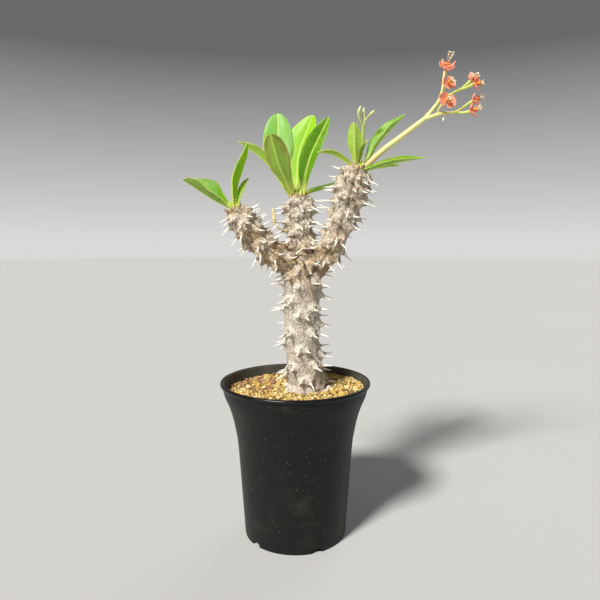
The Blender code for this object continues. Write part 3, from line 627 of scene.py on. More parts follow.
# Stem: a trunk and three branches of pale knobbly bark, with pairs of spines
stem = {
    "seed": 7, "columns": 16, "ringStep": 3.9, "finer": 5, "knob": 1.9, "knobSpread": 3.3, "knobTurn": 135,
    "voxel": 0.61, "roughness": ((5.5, 0.32), (1.7, 0.22)),  # size and height of the lumps in the bark
    "dome": ((0.7, 0.95), (1.5, 0.84), (2.2, 0.66), (2.6, 0.4)), "domeTop": 2.7,  # rise and share of the radius
    "furrowSize": 2.1, "furrowEdge": 0.17, "furrowStretch": 3.2, "furrowDepth": 0.5, "grooveDepth": 0.5,
    "scarRing": 1.9, "scarEdge": 0.5, "scarRise": 0.28, "scarPit": 0.4, "topReach": 6.5, "topLumps": (1.6, 1.1),
    "footLumps": 12, "footLumpAt": 11.6, "footLumpSizes": (1.3, 2.2), "footLumpLevels": (104.5, 107),
    "crustTop": 111.5, "crustFade": 6,
    "limbs": {
        "trunk": {
            "points": [(8, 0, 82), (8, 0, 98), (7.2, 0, 112), (4.9, 0, 138), (4.6, 1, 165), (4.8, 2, 184),
                       (4.5, 3, 196)],
            "radii": [13.2, 13.2, 12.2, 11.6, 11.8, 12.8, 9.5],
            "phase": 90, "first": 33.5, "internode": 1.9, "bareEnd": 6,
            "shortSpines": 0.3, "thick": 1.35, "warm": 0.08, "furrows": 0.35,
        },
        "left": {
            "points": [(2, 1, 184), (-8, -2, 193.5), (-22.4, -5, 204.3), (-33, -8, 217), (-39.8, -9.3, 227.2)],
            "radii": [8, 7.8, 7.5, 8, 6],
            "phase": 50, "first": 15, "internode": 1.55, "bareEnd": 2.5,
            "shortSpines": 1.3, "thick": 0.95, "warm": 0.75, "furrows": 1,
        },
        "centre": {
            "points": [(4.4, 3, 182), (4.2, 5, 196), (2.6, 7, 213), (2.6, 8, 227), (2.4, 8.5, 236.2)],
            "radii": [9, 8.8, 8.4, 8.8, 7],
            "phase": 120, "first": 14, "internode": 1.55, "bareEnd": 2.5,
            "shortSpines": 1.3, "thick": 0.95, "warm": 0.3, "furrows": 0.9,
        },
        "right": {
            "points": [(9, 2, 183), (18, 1, 193), (28.2, -2, 211), (35.6, -3.5, 233), (38.8, -4, 245),
                       (42, -4.5, 254)],
            "radii": [8, 7.4, 7.8, 9, 9.2, 7.2],
            "phase": 25, "first": 17, "internode": 1.6, "bareEnd": 2.5,
            "shortSpines": 0.8, "thick": 1.1, "warm": 0.5, "furrows": 0.9, "groove": (1.4, 0.9),
        },
    },
}


thorn = {
    "length": 10, "lengths": (0.85, 1.1), "apart": 0.8, "turn": 0.12, "lean": (-0.4, 0.08), "sink": 0.3,
    "clear": 0.8, "tests": 10, "sides": 8, "bend": 0.07, "reach": 1.8, "seed": 5,
    "shortLengths": (2.2, 5), "shortTurn": 1.3, "shortRise": 0.55, "shortLean": (-0.7, 0.4), "shortThick": 0.5,
    "stations": (0.0, 0.04, 0.085, 0.14, 0.21, 0.3, 0.42, 0.58, 0.78, 0.92),
    # the swollen bark under a spine, as rises and radii
    "swelling": ((0, 4.1), (0.6, 3.2), (1.2, 2.45), (2.0, 1.8), (2.9, 1.3), (4.0, 0.95)),
}


class Limb:
    # One limb's run, its knobs and the places on its bark
    def __init__(self, facts):
        self.facts = facts
        self.run = toMetres(facts["points"])
        self.radii = lengths(facts["radii"])
        self.rows = round(runLength(self.run) / (stem["ringStep"] * mm))
        finer = self.rows * stem["finer"]
        self.frames = framesAlong([curveAt(self.run, i / finer) for i in range(finer + 1)], Vector((0, -1, 0)))
        self.spots = self.knobSpots()

    def knobSpots(self):
        draw = random.Random(stem["seed"] + self.facts["phase"])
        spots = []
        along, turn = self.facts["first"], math.radians(self.facts["phase"])
        while along < self.rows * stem["ringStep"] - self.facts["bareEnd"]:
            row = round((along + draw.uniform(-1, 1)) / stem["ringStep"] - 0.5)
            spots.append((row, round(turn * stem["columns"] / math.tau) % stem["columns"]))
            along += self.facts["internode"]
            turn += math.radians(stem["knobTurn"])
        return spots

    def swell(self, row, column, radius):
        total, half = 0, stem["columns"] // 2
        for spotRow, spotColumn in self.spots:
            rise = (row - spotRow - 0.5) * stem["ringStep"]
            around = (column - spotColumn + half) % stem["columns"] - half
            arc = around * math.tau * radius / mm / stem["columns"]
            total += math.exp(-(rise**2 + arc**2) / stem["knobSpread"] ** 2)
        return stem["knob"] * min(total, 1.2) * mm

    def frameAt(self, row):
        return self.frames[min(max(round(row * stem["finer"]), 0), len(self.frames) - 1)]

    def barkAt(self, row, column):
        centre, _, side, second = self.frameAt(row)
        radius = curveAt(self.radii, min(max(row / self.rows, 0), 1))
        turn = math.tau * column / stem["columns"]
        return centre + towards(side, second, turn) * (radius + self.swell(row, column, radius))

    def bark(self):
        # Closed rings with a domed top
        finer = stem["finer"]
        rings = [[self.barkAt(i / finer, j / finer) for j in range(stem["columns"] * finer)]
                 for i in range(len(self.frames))]
        last = rings[-1]
        centre, tangent, _, _ = self.frames[-1]
        for rise, share in stem["dome"]:
            rings.append([centre + (point - centre) * share + tangent * rise * mm for point in last])
        return skin([*rings, [centre + tangent * stem["domeTop"] * mm]])

    def spines(self, blocked):
        # Each as root, direction, length, way out and thickness, where nothing is in its way
        return self.pairs(blocked) + self.shorts(blocked)

    def pairs(self, blocked):
        # One spine on both sides of each knob
        draw = random.Random(stem["seed"] * self.facts["phase"])
        found = []
        for row, column in sorted(set(self.spots)):
            _, tangent, side, second = self.frameAt(row)
            for hand in (-1, 1):
                turn = math.tau * (column + hand * thorn["apart"]) / stem["columns"]
                out = towards(side, second, turn + draw.uniform(-thorn["turn"], thorn["turn"]))
                direction = (out + tangent * draw.uniform(*thorn["lean"])).normalized()
                length = thorn["length"] * draw.uniform(*thorn["lengths"]) * mm
                if not 0 <= row < self.rows:
                    continue
                first = column - (hand < 0)
                corners = [self.barkAt(row + up, first + over) for up in (0, 1) for over in (0, 1)]
                root = sum(corners, Vector()) / 4 - out * thorn["sink"] * mm
                if not blocked(root, direction, length):
                    found.append((root, direction, length, out, self.facts["thick"]))
        return found

    def shorts(self, blocked):
        # Thin short spines between the pairs
        draw = random.Random(stem["seed"] + 3 * self.facts["phase"])
        found = []
        for row, column in self.spots * 2:
            if draw.random() > self.facts["shortSpines"] / 2 or not 0 <= row < self.rows:
                continue
            turn = math.tau * (column + draw.uniform(-thorn["shortTurn"], thorn["shortTurn"])) / stem["columns"]
            level = row + 0.5 + draw.uniform(-thorn["shortRise"], thorn["shortRise"])
            _, tangent, side, second = self.frameAt(level)
            out = towards(side, second, turn)
            direction = (out + tangent * draw.uniform(*thorn["shortLean"])).normalized()
            length = draw.uniform(*thorn["shortLengths"]) * mm
            root = self.barkAt(level, turn * stem["columns"] / math.tau) - out * thorn["sink"] * mm
            if not blocked(root, direction, length):
                found.append((root, direction, length, out, thorn["shortThick"]))
        return found

    def lines(self, step, away):
        # How deep a place lies in the lengthwise furrows and in the groove down the front, from 0 to 1
        _, _, side, second = self.frames[step]
        front, across = away.dot(side) / mm, away.dot(second) / mm
        along = step * stem["ringStep"] / stem["finer"]
        place = Vector((front, across, along / stem["furrowStretch"])) / stem["furrowSize"]
        furrow = max(1 - abs(noise.noise(place)) / stem["furrowEdge"], 0) * self.facts["furrows"]
        groove = 0
        if "groove" in self.facts and front > 0:
            wide, depth = self.facts["groove"]
            drift = 1.2 * noise.noise(Vector((along / 9, 0, 0)))
            groove = math.exp(-(((across - drift) / wide) ** 2)) * depth
        return furrow, groove


def blockedBy(names):
    # Tells whether a spine would touch one of those CAD nodes
    points, faces = [], []
    for name in names:
        mesh = frame["nodes"][name].data
        start = len(points)
        points += [vertex.co.copy() for vertex in mesh.vertices]
        faces += [tuple(start + corner for corner in face.vertices) for face in mesh.polygons]
    tree = BVHTree.FromPolygons(points, faces)
    shares = [i / thorn["tests"] for i in range(1, thorn["tests"] + 1)]

    def blocked(root, direction, length):
        return any(tree.find_nearest(root + direction * length * share)[3] < thorn["clear"] * mm * (2 - share)
                   for share in shares)

    return blocked


def barkFinish():
    finish = Finish("bark", Specular_IOR_Level=0.25)
    names = ("relief", "rim", "pit", "top", "furrow", "warm", "crust", "thorn")
    relief, rim, pit, top, furrow, warm, crust, foot = (finish.mark(name) for name in names)
    height = finish.node("SeparateXYZ", {}, {0: finish.place()}, 2)
    patches = finish.clouds(8, 4, 0.6)
    blotches = finish.clouds(3.2, 4, 0.65)
    specks = finish.clouds(0.9, 3, 0.75)
    streaks = finish.clouds(2.0, 4, 0.7, finish.stretched((1.6, 1.6, 0.8)))
    wrinkles = finish.clouds(1.5, 4, 0.6, finish.stretched((1, 1, 2.2)), 0.8)
    wander = finish.node("TexNoise", {}, {"Vector": finish.place(), "Scale": 400.0, "Detail": 2.0}, 1)
    cracks = finish.cells(2.3, "DISTANCE_TO_EDGE", finish.node(
        "VectorMath", {"operation": "MULTIPLY_ADD"},
        {0: wander, 1: (0.0016, 0.0016, 0.0016), 2: finish.stretched((1, 1, 1.7))}))
    fork = finish.step(height, 176 * mm, 188 * mm) * finish.step(height, 218 * mm, 198 * mm)
    # hollows marks the low bark between the knobs, where shade is painted below
    hollows = finish.step(relief, 0.45, 0.05)
    finish.paint(
        (0.64, 0.57, 0.46), (patches, (0.86, 0.81, 0.71)),
        (warm * finish.step(patches + blotches * 0.4, 0.5, 0.82), (0.58, 0.41, 0.22)),
        (finish.step(blotches, 0.5, 0.68) * 0.55, (0.36, 0.30, 0.22)),
        (fork * finish.step(patches, 0.36, 0.6) * 0.75, (0.46, 0.29, 0.11)),
        # Painted shade in the hollows between the knobs; near the fork the dark brown is partly bark colour and
        # partly painted shade, laid only in the hollows
        (hollows * finish.step(wrinkles, 0.3, 0.58) * 0.5, (0.20, 0.14, 0.08)),
        (fork * hollows * finish.step(blotches, 0.35, 0.65) * 0.7, (0.14, 0.08, 0.035)),
        # Painted shade in the furrows and in the groove down the right branch, the places the relief pushes in
        (finish.step(furrow, 0.15, 0.85) * 0.8, (0.155, 0.10, 0.055)),
        # Painted shade along the cracks, which the bump sinks
        (finish.step(cracks, 0.1, 0.02) * finish.step(blotches, 0.4, 0.62) * 0.4, (0.10, 0.072, 0.045)),
        (rim * finish.step(blotches, 0.3, 0.5) * 0.85, (0.13, 0.085, 0.05)),
        (pit * 0.6, (0.34, 0.27, 0.19)),
        (finish.step(top + wrinkles * 0.6, 0.55, 1.0) * 0.9, (0.27, 0.175, 0.08)),
        (finish.step(crust + blotches * 0.5, 0.7, 1.0) * 0.85, (0.86, 0.76, 0.68)),
        (finish.step(foot, 0.35, 0.95) * 0.6, (0.88, 0.82, 0.71)),
        (finish.step(streaks, 0.5, 0.62) * (0.25 + warm * 0.45), (0.27, 0.18, 0.09)),
        (finish.step(specks, 0.53, 0.62) * (0.65 - foot * 0.35), (0.12, 0.09, 0.06)),
        (finish.step(specks, 0.45, 0.35) * 0.5, (0.95, 0.93, 0.88)),
    )
    finish.feed("Roughness", 0.78 + blotches * 0.15)
    finish.bump(wrinkles * 1.4 + specks * 0.6 + finish.step(cracks, 0.0, 0.12) * 0.6 - furrow * 0.6, 0.38, 0.85)
    return finish


def spineFinish():
    finish = Finish("spine", Specular_IOR_Level=0.4)
    along, stain = finish.mark("along"), finish.clouds(2.5, 3)
    finish.paint((0.80, 0.74, 0.64), (finish.step(along, 0, 0.35), (0.90, 0.88, 0.81)),
                 (finish.step(stain, 0.52, 0.75) * 0.35, (0.42, 0.32, 0.19)),
                 (finish.step(along, 0.78, 1) * 0.5, (0.42, 0.3, 0.18)))
    finish.feed("Roughness", 0.5 + stain * 0.15)
    finish.bump(finish.clouds(0.6, 3), 0.1, 0.6)
    return finish


def spineShape(spine, draw):
    # A broad concave base that runs into a thin curved point
    root, direction, length, _, thick = spine
    side, second = sidesOf(direction)
    bend = (side * draw.uniform(-1, 1) + second * draw.uniform(-1, 1)) * thorn["bend"] * length
    rings, along = [], []
    for u in thorn["stations"]:
        radius = (0.13 + 0.68 * (1 - u) ** 0.9 + 1.6 * math.exp(-u / 0.13)) * mm * thick**0.7
        centre = root + direction * length * u + bend * u**2 - direction * thorn["sink"] * mm
        rings.append(ringAt(centre, side, second, radius, thorn["sides"]))
        along += [u] * thorn["sides"]
    rings.append([root + direction * length + bend])
    return skin(rings), along + [1.0]


def barkShapes(limbs, spines):
    # The limbs with a swelling under each spine, and swollen root tops where the trunk meets the soil
    heap = Heap()
    for limb in limbs:
        heap.add(limb.bark())
    for root, direction, _, _, thick in spines:
        side, second = sidesOf(direction)
        heap.add(skin([ringAt(root + direction * (rise * thick**0.5 - 0.4) * mm, side, second,
                              radius * mm * thick**0.4, 12) for rise, radius in thorn["swelling"]]))
    draw = random.Random(stem["seed"])
    for i in range(stem["footLumps"]):
        turn = math.tau * (i + draw.uniform(-0.3, 0.3)) / stem["footLumps"]
        radius = draw.uniform(*stem["footLumpSizes"])
        at = Vector((soil["footAt"][0] + stem["footLumpAt"] * math.cos(turn),
                     soil["footAt"][1] + stem["footLumpAt"] * math.sin(turn),
                     draw.uniform(*stem["footLumpLevels"])))
        middle = [(radius * math.sin(math.pi * j / 8), -1.2 * radius * math.cos(math.pi * j / 8))
                  for j in range(1, 8)]
        heap.add(lathe([(0, -1.2 * radius), *middle, (0, 1.2 * radius)], 14, at * mm))
    return heap


def barkMarks(places, limbs, spines):
    # What the finish and the relief need to know of each place, and the groove down the right branch
    cores = [(limb, i) for limb in limbs for i in range(len(limb.frames))]
    tree = treeOf([limb.frames[step][0] for limb, step in cores])
    marks = {name: np.zeros(len(places)) for name in ("relief", "furrow", "warm")}
    grooves = np.zeros(len(places))
    for i, place in enumerate(places):
        _, nearest, distance = tree.find(place)
        limb, step = cores[nearest]
        t = step / (len(limb.frames) - 1)
        marks["relief"][i] = min(max((distance - curveAt(limb.radii, t)) / (stem["knob"] * mm), 0), 1)
        furrow, grooves[i] = limb.lines(step, Vector(place) - limb.frames[step][0])
        marks["furrow"][i] = max(furrow * (1 - 0.5 * marks["relief"][i]), grooves[i])
        marks["warm"][i] = limb.facts["warm"]
    scars = [limb.barkAt(row + 0.5, column) for limb in limbs for row, column in limb.spots]
    fromScar = distancesTo(places, scars)
    marks["rim"] = falloff(fromScar - stem["scarRing"], stem["scarEdge"])
    marks["pit"] = falloff(fromScar, 0.75 * stem["scarRing"])
    tops = [limb.frames[-1][0] for limb in limbs[1:]]
    marks["top"] = falloff(distancesTo(places, tops), stem["topReach"])
    thorns = [root + direction * mm for root, direction, _, _, _ in spines]
    marks["thorn"] = falloff(distancesTo(places, thorns), thorn["reach"])
    marks["crust"] = np.clip((stem["crustTop"] - places[:, 2] / mm) / stem["crustFade"], 0, 1)
    return marks, grooves


def makeStem():
    limbs = [Limb(facts) for facts in stem["limbs"].values()]
    blocked = blockedBy(["soil", "flower_stalk", "bud_spray", "leaves_left", "leaves_centre", "leaves_right",
                         "dried_stalk", "dried_leaf"])
    spines = [spine for limb in limbs for spine in limb.spines(blocked)]
    bark = fused(barkShapes(limbs, spines), stem["voxel"])
    places = pointsOf(bark)
    marks, grooves = barkMarks(places, limbs, spines)
    push = marks["rim"] * stem["scarRise"] - marks["pit"] * stem["scarPit"]
    push = push - marks["furrow"] * stem["furrowDepth"] - grooves * stem["grooveDepth"]
    for i, (size, height) in enumerate(stem["roughness"]):
        push += turbulence(places, size, 2, 7.0 * i) * height
    size, height = stem["topLumps"]
    push += turbulence(places, size, 1, 23.0) * marks["top"] * height
    places = places + pointsOf(bark, "normal") * push[:, None] * mm
    bark.vertices.foreach_set("co", places.astype(np.float32).ravel())
    bark.update()
    print("stem", len(bark.polygons), "faces,", len(spines), "spines")
    finishPiece("stemBark", bark, marks, barkFinish(), ("stem",))
    heap = Heap()
    draw = random.Random(thorn["seed"])
    for spine in spines:
        shape, along = spineShape(spine, draw)
        heap.add(shape, along=along)
    addPiece("stemSpines", heap, spineFinish(), ("stem",))


# Papery brown scales round the growing tips
scales = {"seed": 31, "count": 15, "footReach": (0.72, 1.0), "footRise": (-1.2, 1.2),
          "length": (2.6, 5.0), "width": 2.1, "thickness": 0.35, "lean": (0.15, 0.75), "curl": 0.7,
          "steps": (0, 0.15, 0.35, 0.6, 0.85, 1), "parts": (-1, -0.5, 0, 0.5, 1)}


def scaleFinish():
    finish = Finish("scale", Roughness=0.85, Specular_IOR_Level=0.2)
    finish.paint((0.30, 0.185, 0.08), (finish.clouds(1.6, 3), (0.66, 0.50, 0.30)),
                 (finish.step(finish.mark("along"), 0.6, 1) * 0.7, (0.17, 0.10, 0.045)))
    finish.bump(finish.clouds(0.5, 3), 0.15)
    return finish


def makeScales():
    draw = random.Random(scales["seed"])
    heap = Heap()
    for name in crowns:
        limb = Limb(stem["limbs"][name])
        top, axis, side, second = limb.frames[-1]
        radius = limb.facts["radii"][-1]
        for i in range(scales["count"]):
            out = towards(side, second, spiral * i + draw.uniform(-0.2, 0.2))
            foot = out * radius * draw.uniform(*scales["footReach"]) + axis * draw.uniform(*scales["footRise"])
            foot = top + foot * mm
            reach = (axis + out * draw.uniform(*scales["lean"])).normalized()
            reach = reach * draw.uniform(*scales["length"]) * mm
            across, lift = out.cross(axis), out * scales["thickness"] / 2 * mm
            upper, lower, along = [], [], []
            for t in scales["steps"]:
                half = scales["width"] / 2 * mm * (math.sin(math.pi * (0.3 + 0.68 * t)) + 0.05)
                middle = foot + reach * t - out * scales["curl"] * t**2 * mm
                row = [middle + across * part * half - out * part**2 * 0.5 * half for part in scales["parts"]]
                upper.append([point + lift for point in row])
                lower.append([point - lift for point in row])
                along += [t] * len(row)
            heap.add(sheet(upper, lower), along=along * 2)
    addPiece("crownScales", heap, scaleFinish())


# Leaves: each has a pale petiole and midrib, a folded blade and fine side veins
leafParts = [0, 0.035, 0.075, 0.13, 0.2, 0.3, 0.42, 0.54, 0.66, 0.78, 0.88, 0.95, 1]
leafParts = [-part for part in reversed(leafParts[1:])] + leafParts
crowns = {
    "left": {
        "coreRadius": 5, "seed": 3,
        "leaves": [
            {"rib": [(-40.6, -9, 228.2), (-55.5, -5.5, 235.3), (-76.3, 0, 248.5)], "tone": 0.2,
             "width": 24, "face": (0.4, -0.32, 0.87), "fold": 52, "tip": 0.9, "wave": 0.8},
            # This leaf's full tone is partly painted light: it brightens a face turned from the lamp, for light
            # shining through the leaf
            {"rib": [(-40, -8.8, 228), (-41.6, -6, 249), (-31.6, -6, 271.5)], "tone": 1,
             "width": 13, "face": (0.8, -0.55, 0.1), "fold": 48, "tip": 0.8},
            {"rib": [(-39, -8, 228.5), (-35.9, -3.5, 240), (-31.5, 0, 249.3)], "tone": 0.9, "aged": 0.8,
             "width": 8, "face": (-0.6, -0.7, 0.2), "fold": 30, "tip": 0.8},
        ],
    },
    "centre": {
        "coreRadius": 6, "seed": 5,
        "leaves": [
            # This leaf's bluish tint is a painted sheen
            {"rib": [(-0.6, 12, 237), (-11, 19, 265), (-12.6, 24, 296.6)], "tone": 0.8, "cool": 0.75,
             "width": 24, "face": (-0.1, -0.95, 0.3), "fold": 14, "tip": 0.45},
            {"rib": [(-1.2, 6.4, 238), (-10.2, -7, 256.5), (-15.6, -18, 275)], "tone": 0.5, "aged": 0.75,
             "width": 19, "face": (0.1, 0.85, 0.55), "fold": 24, "tip": 0.5, "wave": 0.3},
            {"rib": [(-2.6, 8, 237), (-19.5, 11.5, 260.5), (-39.3, 12, 275.4)], "tone": 0.6, "aged": 0.3,
             "width": 15, "face": (0.5, 0.1, 0.8), "fold": 52, "tip": 1, "wave": 0.3},
            {"rib": [(1.6, 11, 237), (2.4, 17, 266), (12.6, 22, 295)], "tone": 0.8,
             "width": 26, "face": (-0.5, -0.87, 0), "fold": 28, "tip": 0.6},
            {"rib": [(4.8, 6.5, 236.5), (9.6, 2, 261.5), (22.8, 2, 289.4)], "tone": 0.08,
             "width": 18, "face": (-0.35, -0.93, 0.1), "fold": 38, "tip": 0.6},
            {"rib": [(5.0, 11.2, 238.8), (11.5, 16, 241.6), (19.2, 24, 244), (32.9, 36, 250)], "tone": 0.35,
             "width": 9, "face": (-0.3, -0.3, 0.9), "fold": 45, "tip": 0.9},
        ],
    },
    "right": {
        "coreRadius": 6.2, "seed": 8,
        "leaves": [
            {"rib": [(38.6, -5.5, 256.4), (34, -6.8, 259.2), (24.6, -10, 263.6), (14.3, -14, 264.2)],
             "tone": 0.5, "width": 8, "face": (0.3, 0.2, 0.9), "fold": 50, "tip": 0.8},
            {"rib": [(40.4, -7.2, 255.5), (38.9, -13.5, 268.8), (37.8, -16.5, 282.6)], "tone": 0.75,
             "width": 12, "face": (0.05, 0.9, 0.35), "fold": 28, "tip": 0.5},
            {"rib": [(42.4, -7, 255.8), (44.4, -6.8, 265.5), (48, -6.5, 273.4)], "tone": 0.8,
             "width": 5, "face": (-0.5, -0.6, 0.4), "fold": 50, "tip": 1},
            {"rib": [(45.6, -0.2, 254.8), (57.4, 5, 274), (75, 8, 292.5)], "tone": 0.3,
             "width": 16, "face": (-0.7, -0.4, 0.6), "fold": 46, "tip": 0.8},
            {"rib": [(44.2, -7.8, 253.8), (49, -8.8, 254.3), (65, -11, 257.9), (84.5, -14, 261)],
             "tone": 0.25, "aged": 0.3,
             "width": 13, "face": (-0.1, -0.3, 0.95), "fold": 35, "tip": 1, "wave": 0.4},
            {"rib": [(45, -0.8, 254.4), (50.5, 1.8, 255.8), (61, 8, 257.6), (73, 16, 259.6)], "tone": 0.3,
             "width": 9, "face": (-0.1, -0.2, 0.95), "fold": 40, "tip": 0.8},
        ],
    },
}
blade = {"steps": 34, "thickness": 0.7, "petiole": 3, "petioleEnd": 0.3, "rib": 1.1,
         "corePlug": 4.5, "coreDome": 3.6, "coreRim": 0.6, "coreTurns": (0.3, 0.6, 0.9, 1.2)}
youngTips = {"count": 9, "seed": 40, "lean": (0.1, 0.5), "size": (2.4, 4.4), "sink": 0.9, "clear": 1.5,
             "tests": (0.05, 0.1, 0.15, 0.2, 0.3), "blade": {"width": 3.4, "fold": 40, "tip": 1, "tone": 0.8}}


def bladeMarks(along, across):
    # For the upper points and then the lower ones
    return {"along": along * 2, "across": across * 2, "under": [0] * len(along) + [1] * len(along)}


def bladeHalfWidth(t, width, tip):
    spread = math.pi * t**1.5
    swell = max(math.sin(spread), 0) ** (1 if spread < math.pi / 2 else tip)
    return (blade["petiole"] / 2 * (1 - 0.8 * t) + (width - blade["petiole"]) / 2 * swell) * mm


def leafShape(leaf, seed):
    # The blade as a closed sheet, with the marks of its points
    fold, face = math.radians(leaf["fold"]), Vector(leaf["face"])
    steps = [math.sin(math.pi / 2 * i / blade["steps"]) for i in range(blade["steps"] + 1)]
    path = [curveAt(toMetres(leaf["rib"]), t) for t in steps]
    upper, lower, along, across, ribs = [], [], [], [], []
    for t, (centre, _, normal, side) in zip(steps, framesAlong(path, face)):
        half = bladeHalfWidth(t, leaf["width"], leaf["tip"])
        petiole = max(0, 1 - t / blade["petioleEnd"])
        opening = fold * (1 - 0.6 * petiole)
        ribWidth = (0.75 + 0.8 * (1 - t)) * mm
        over, under = [], []
        for part in leafParts:
            out = abs(part) * half
            wave = leaf.get("wave", 0) * mm * abs(part) * math.sin(11 * t + part)
            ripple = noise.noise(Vector((6 * t, 2.2 * part, 9.1 * seed))) * min(half, 0.008) * 0.12 * abs(part)
            rise = out * math.sin(opening) - 0.12 * part**2 * half + wave + ripple
            place = centre + side * math.copysign(out * math.cos(opening), part) + normal * rise
            rib = math.exp(-((out / ribWidth) ** 2))
            edge = blade["thickness"] / 2 * (1 - 0.45 * part**6) * mm
            bulge = math.sqrt(max(1 - 0.85 * part**2, 0))
            over.append(place + normal * (edge - 0.12 * rib * mm + 0.5 * petiole * blade["rib"] * bulge * mm))
            depth = blade["rib"] * (1 - t) ** 1.3 * mm * (rib if petiole == 0 else max(rib, petiole * bulge))
            under.append(place - normal * (edge + depth))
            along.append(t)
            across.append(part)
            ribs.append(rib)
        upper.append(over)
        lower.append(under)
    marks = {name: leaf.get(name, 0) for name in ("tone", "cool", "aged")}
    return sheet(upper, lower), {**bladeMarks(along, across), "rib": ribs * 2, **marks}


def leafFinish():
    finish = Finish("leaf", Specular_IOR_Level=0.32, Subsurface_Weight=0.6, Subsurface_Scale=0.0028,
                    Subsurface_Radius=(0.75, 1.0, 0.12))
    names = ("along", "across", "under", "tone", "rib", "cool", "aged")
    along, across, under, tone, rib, cool, aged = (finish.mark(name) for name in names)
    aside = abs(across)
    drift, mottle = finish.clouds(6, 3), finish.clouds(1.1, 3)
    veins = (along * 12 - aside * 2.1 + drift * 0.6).folded(0.5)
    sideVein = finish.step(veins, 0.12, 0.0) * finish.step(aside, 0.02, 0.3)
    midrib = finish.step(rib, 0.25, 0.8)
    # The tone mark lightens each leaf's green; it is partly the leaf's own colour and partly painted light, set
    # leaf by leaf to how lit the leaf looks
    finish.paint(
        # The bluish tint is a painted sheen, a reflection of light on the leaf's face
        (0.07, 0.19, 0.004), (tone, (0.29, 0.56, 0.008)), (cool, (0.2, 0.43, 0.12)),
        (finish.step(drift, 0.4, 0.7) * 0.25, (0.26, 0.48, 0.02)),
        (finish.step(mottle, 0.5, 0.8) * 0.12, (0.07, 0.2, 0.008)),
        (under, finish.blend(tone, (0.17, 0.27, 0.03), (0.38, 0.56, 0.09))),
        (sideVein * (0.1 + under * 0.12), (0.40, 0.6, 0.09)),
        (aged * finish.step(aside * 0.55 + along * 0.5 + drift * 0.6, 0.75, 1.3), (0.28, 0.19, 0.05)),
        (midrib * 0.85, (0.46, 0.58, 0.13)),
        (finish.step(aside, 0.955, 0.99) * 0.55, (0.46, 0.5, 0.17)),
        (finish.step(along, 0.3, 0.04) * 0.9, (0.55, 0.57, 0.13)),
    )
    finish.feed("Roughness", 0.4 + mottle * 0.1 + under * 0.16)
    finish.bump(drift - sideVein * 0.15 - midrib * 0.2, 0.14, 0.5)
    return finish


def growingTip(radius, top, axis):
    rim, dome = blade["coreRim"], blade["coreDome"]
    profile = [(0, -blade["corePlug"]), (radius, -blade["corePlug"]), (radius, rim)]
    profile += [(radius * math.cos(turn), rim + (dome - rim) * math.sin(turn)) for turn in blade["coreTurns"]]
    points, faces = lathe([*profile, (0, dome)], 36, top, axis)
    return [point + (point - top).normalized() * 0.5 * mm * noise.noise(point / (1.6 * mm))
            for point in points], faces


def makeCrowns():
    finish = leafFinish()
    for name, crown in crowns.items():
        top, axis, side, second = Limb(stem["limbs"][name]).frames[-1]
        radius = crown["coreRadius"]
        heap = Heap()
        heap.add(growingTip(radius, top, axis), along=0.05, across=0.5, under=0, tone=0.4, rib=0, cool=0,
                 aged=0.6)
        for i, leaf in enumerate(crown["leaves"]):
            shape, marks = leafShape(leaf, crown["seed"] + i)
            heap.add(shape, **marks)
        stalks = [curveAt(toMetres(leaf["rib"]), t) for leaf in crown["leaves"] for t in youngTips["tests"]]
        draw = random.Random(crown["seed"])
        for i in range(youngTips["count"]):
            # Young leaf tips that stand round the growing point, clear of the leaf stalks
            out = towards(side, second, spiral * i)
            foot = top + axis * (blade["coreDome"] - youngTips["sink"]) * mm
            foot += out * (radius * (0.15 + 0.07 * i) * mm)
            lean = (axis + out * draw.uniform(*youngTips["lean"])).normalized()
            size = draw.uniform(*youngTips["size"])
            tip = foot + lean * size * mm
            if all((tip - place).length > youngTips["clear"] * mm for place in stalks):
                start = foot / mm
                rib = [start, start + lean * size * 0.5, start + (lean - out * 0.25) * size]
                young = {"rib": rib, "face": -out, **youngTips["blade"]}
                shape, marks = leafShape(young, youngTips["seed"] + i)
                heap.add(shape, **marks)
        addPiece("leaves_" + name + "_fine", heap, finish, ("leaves_" + name,))


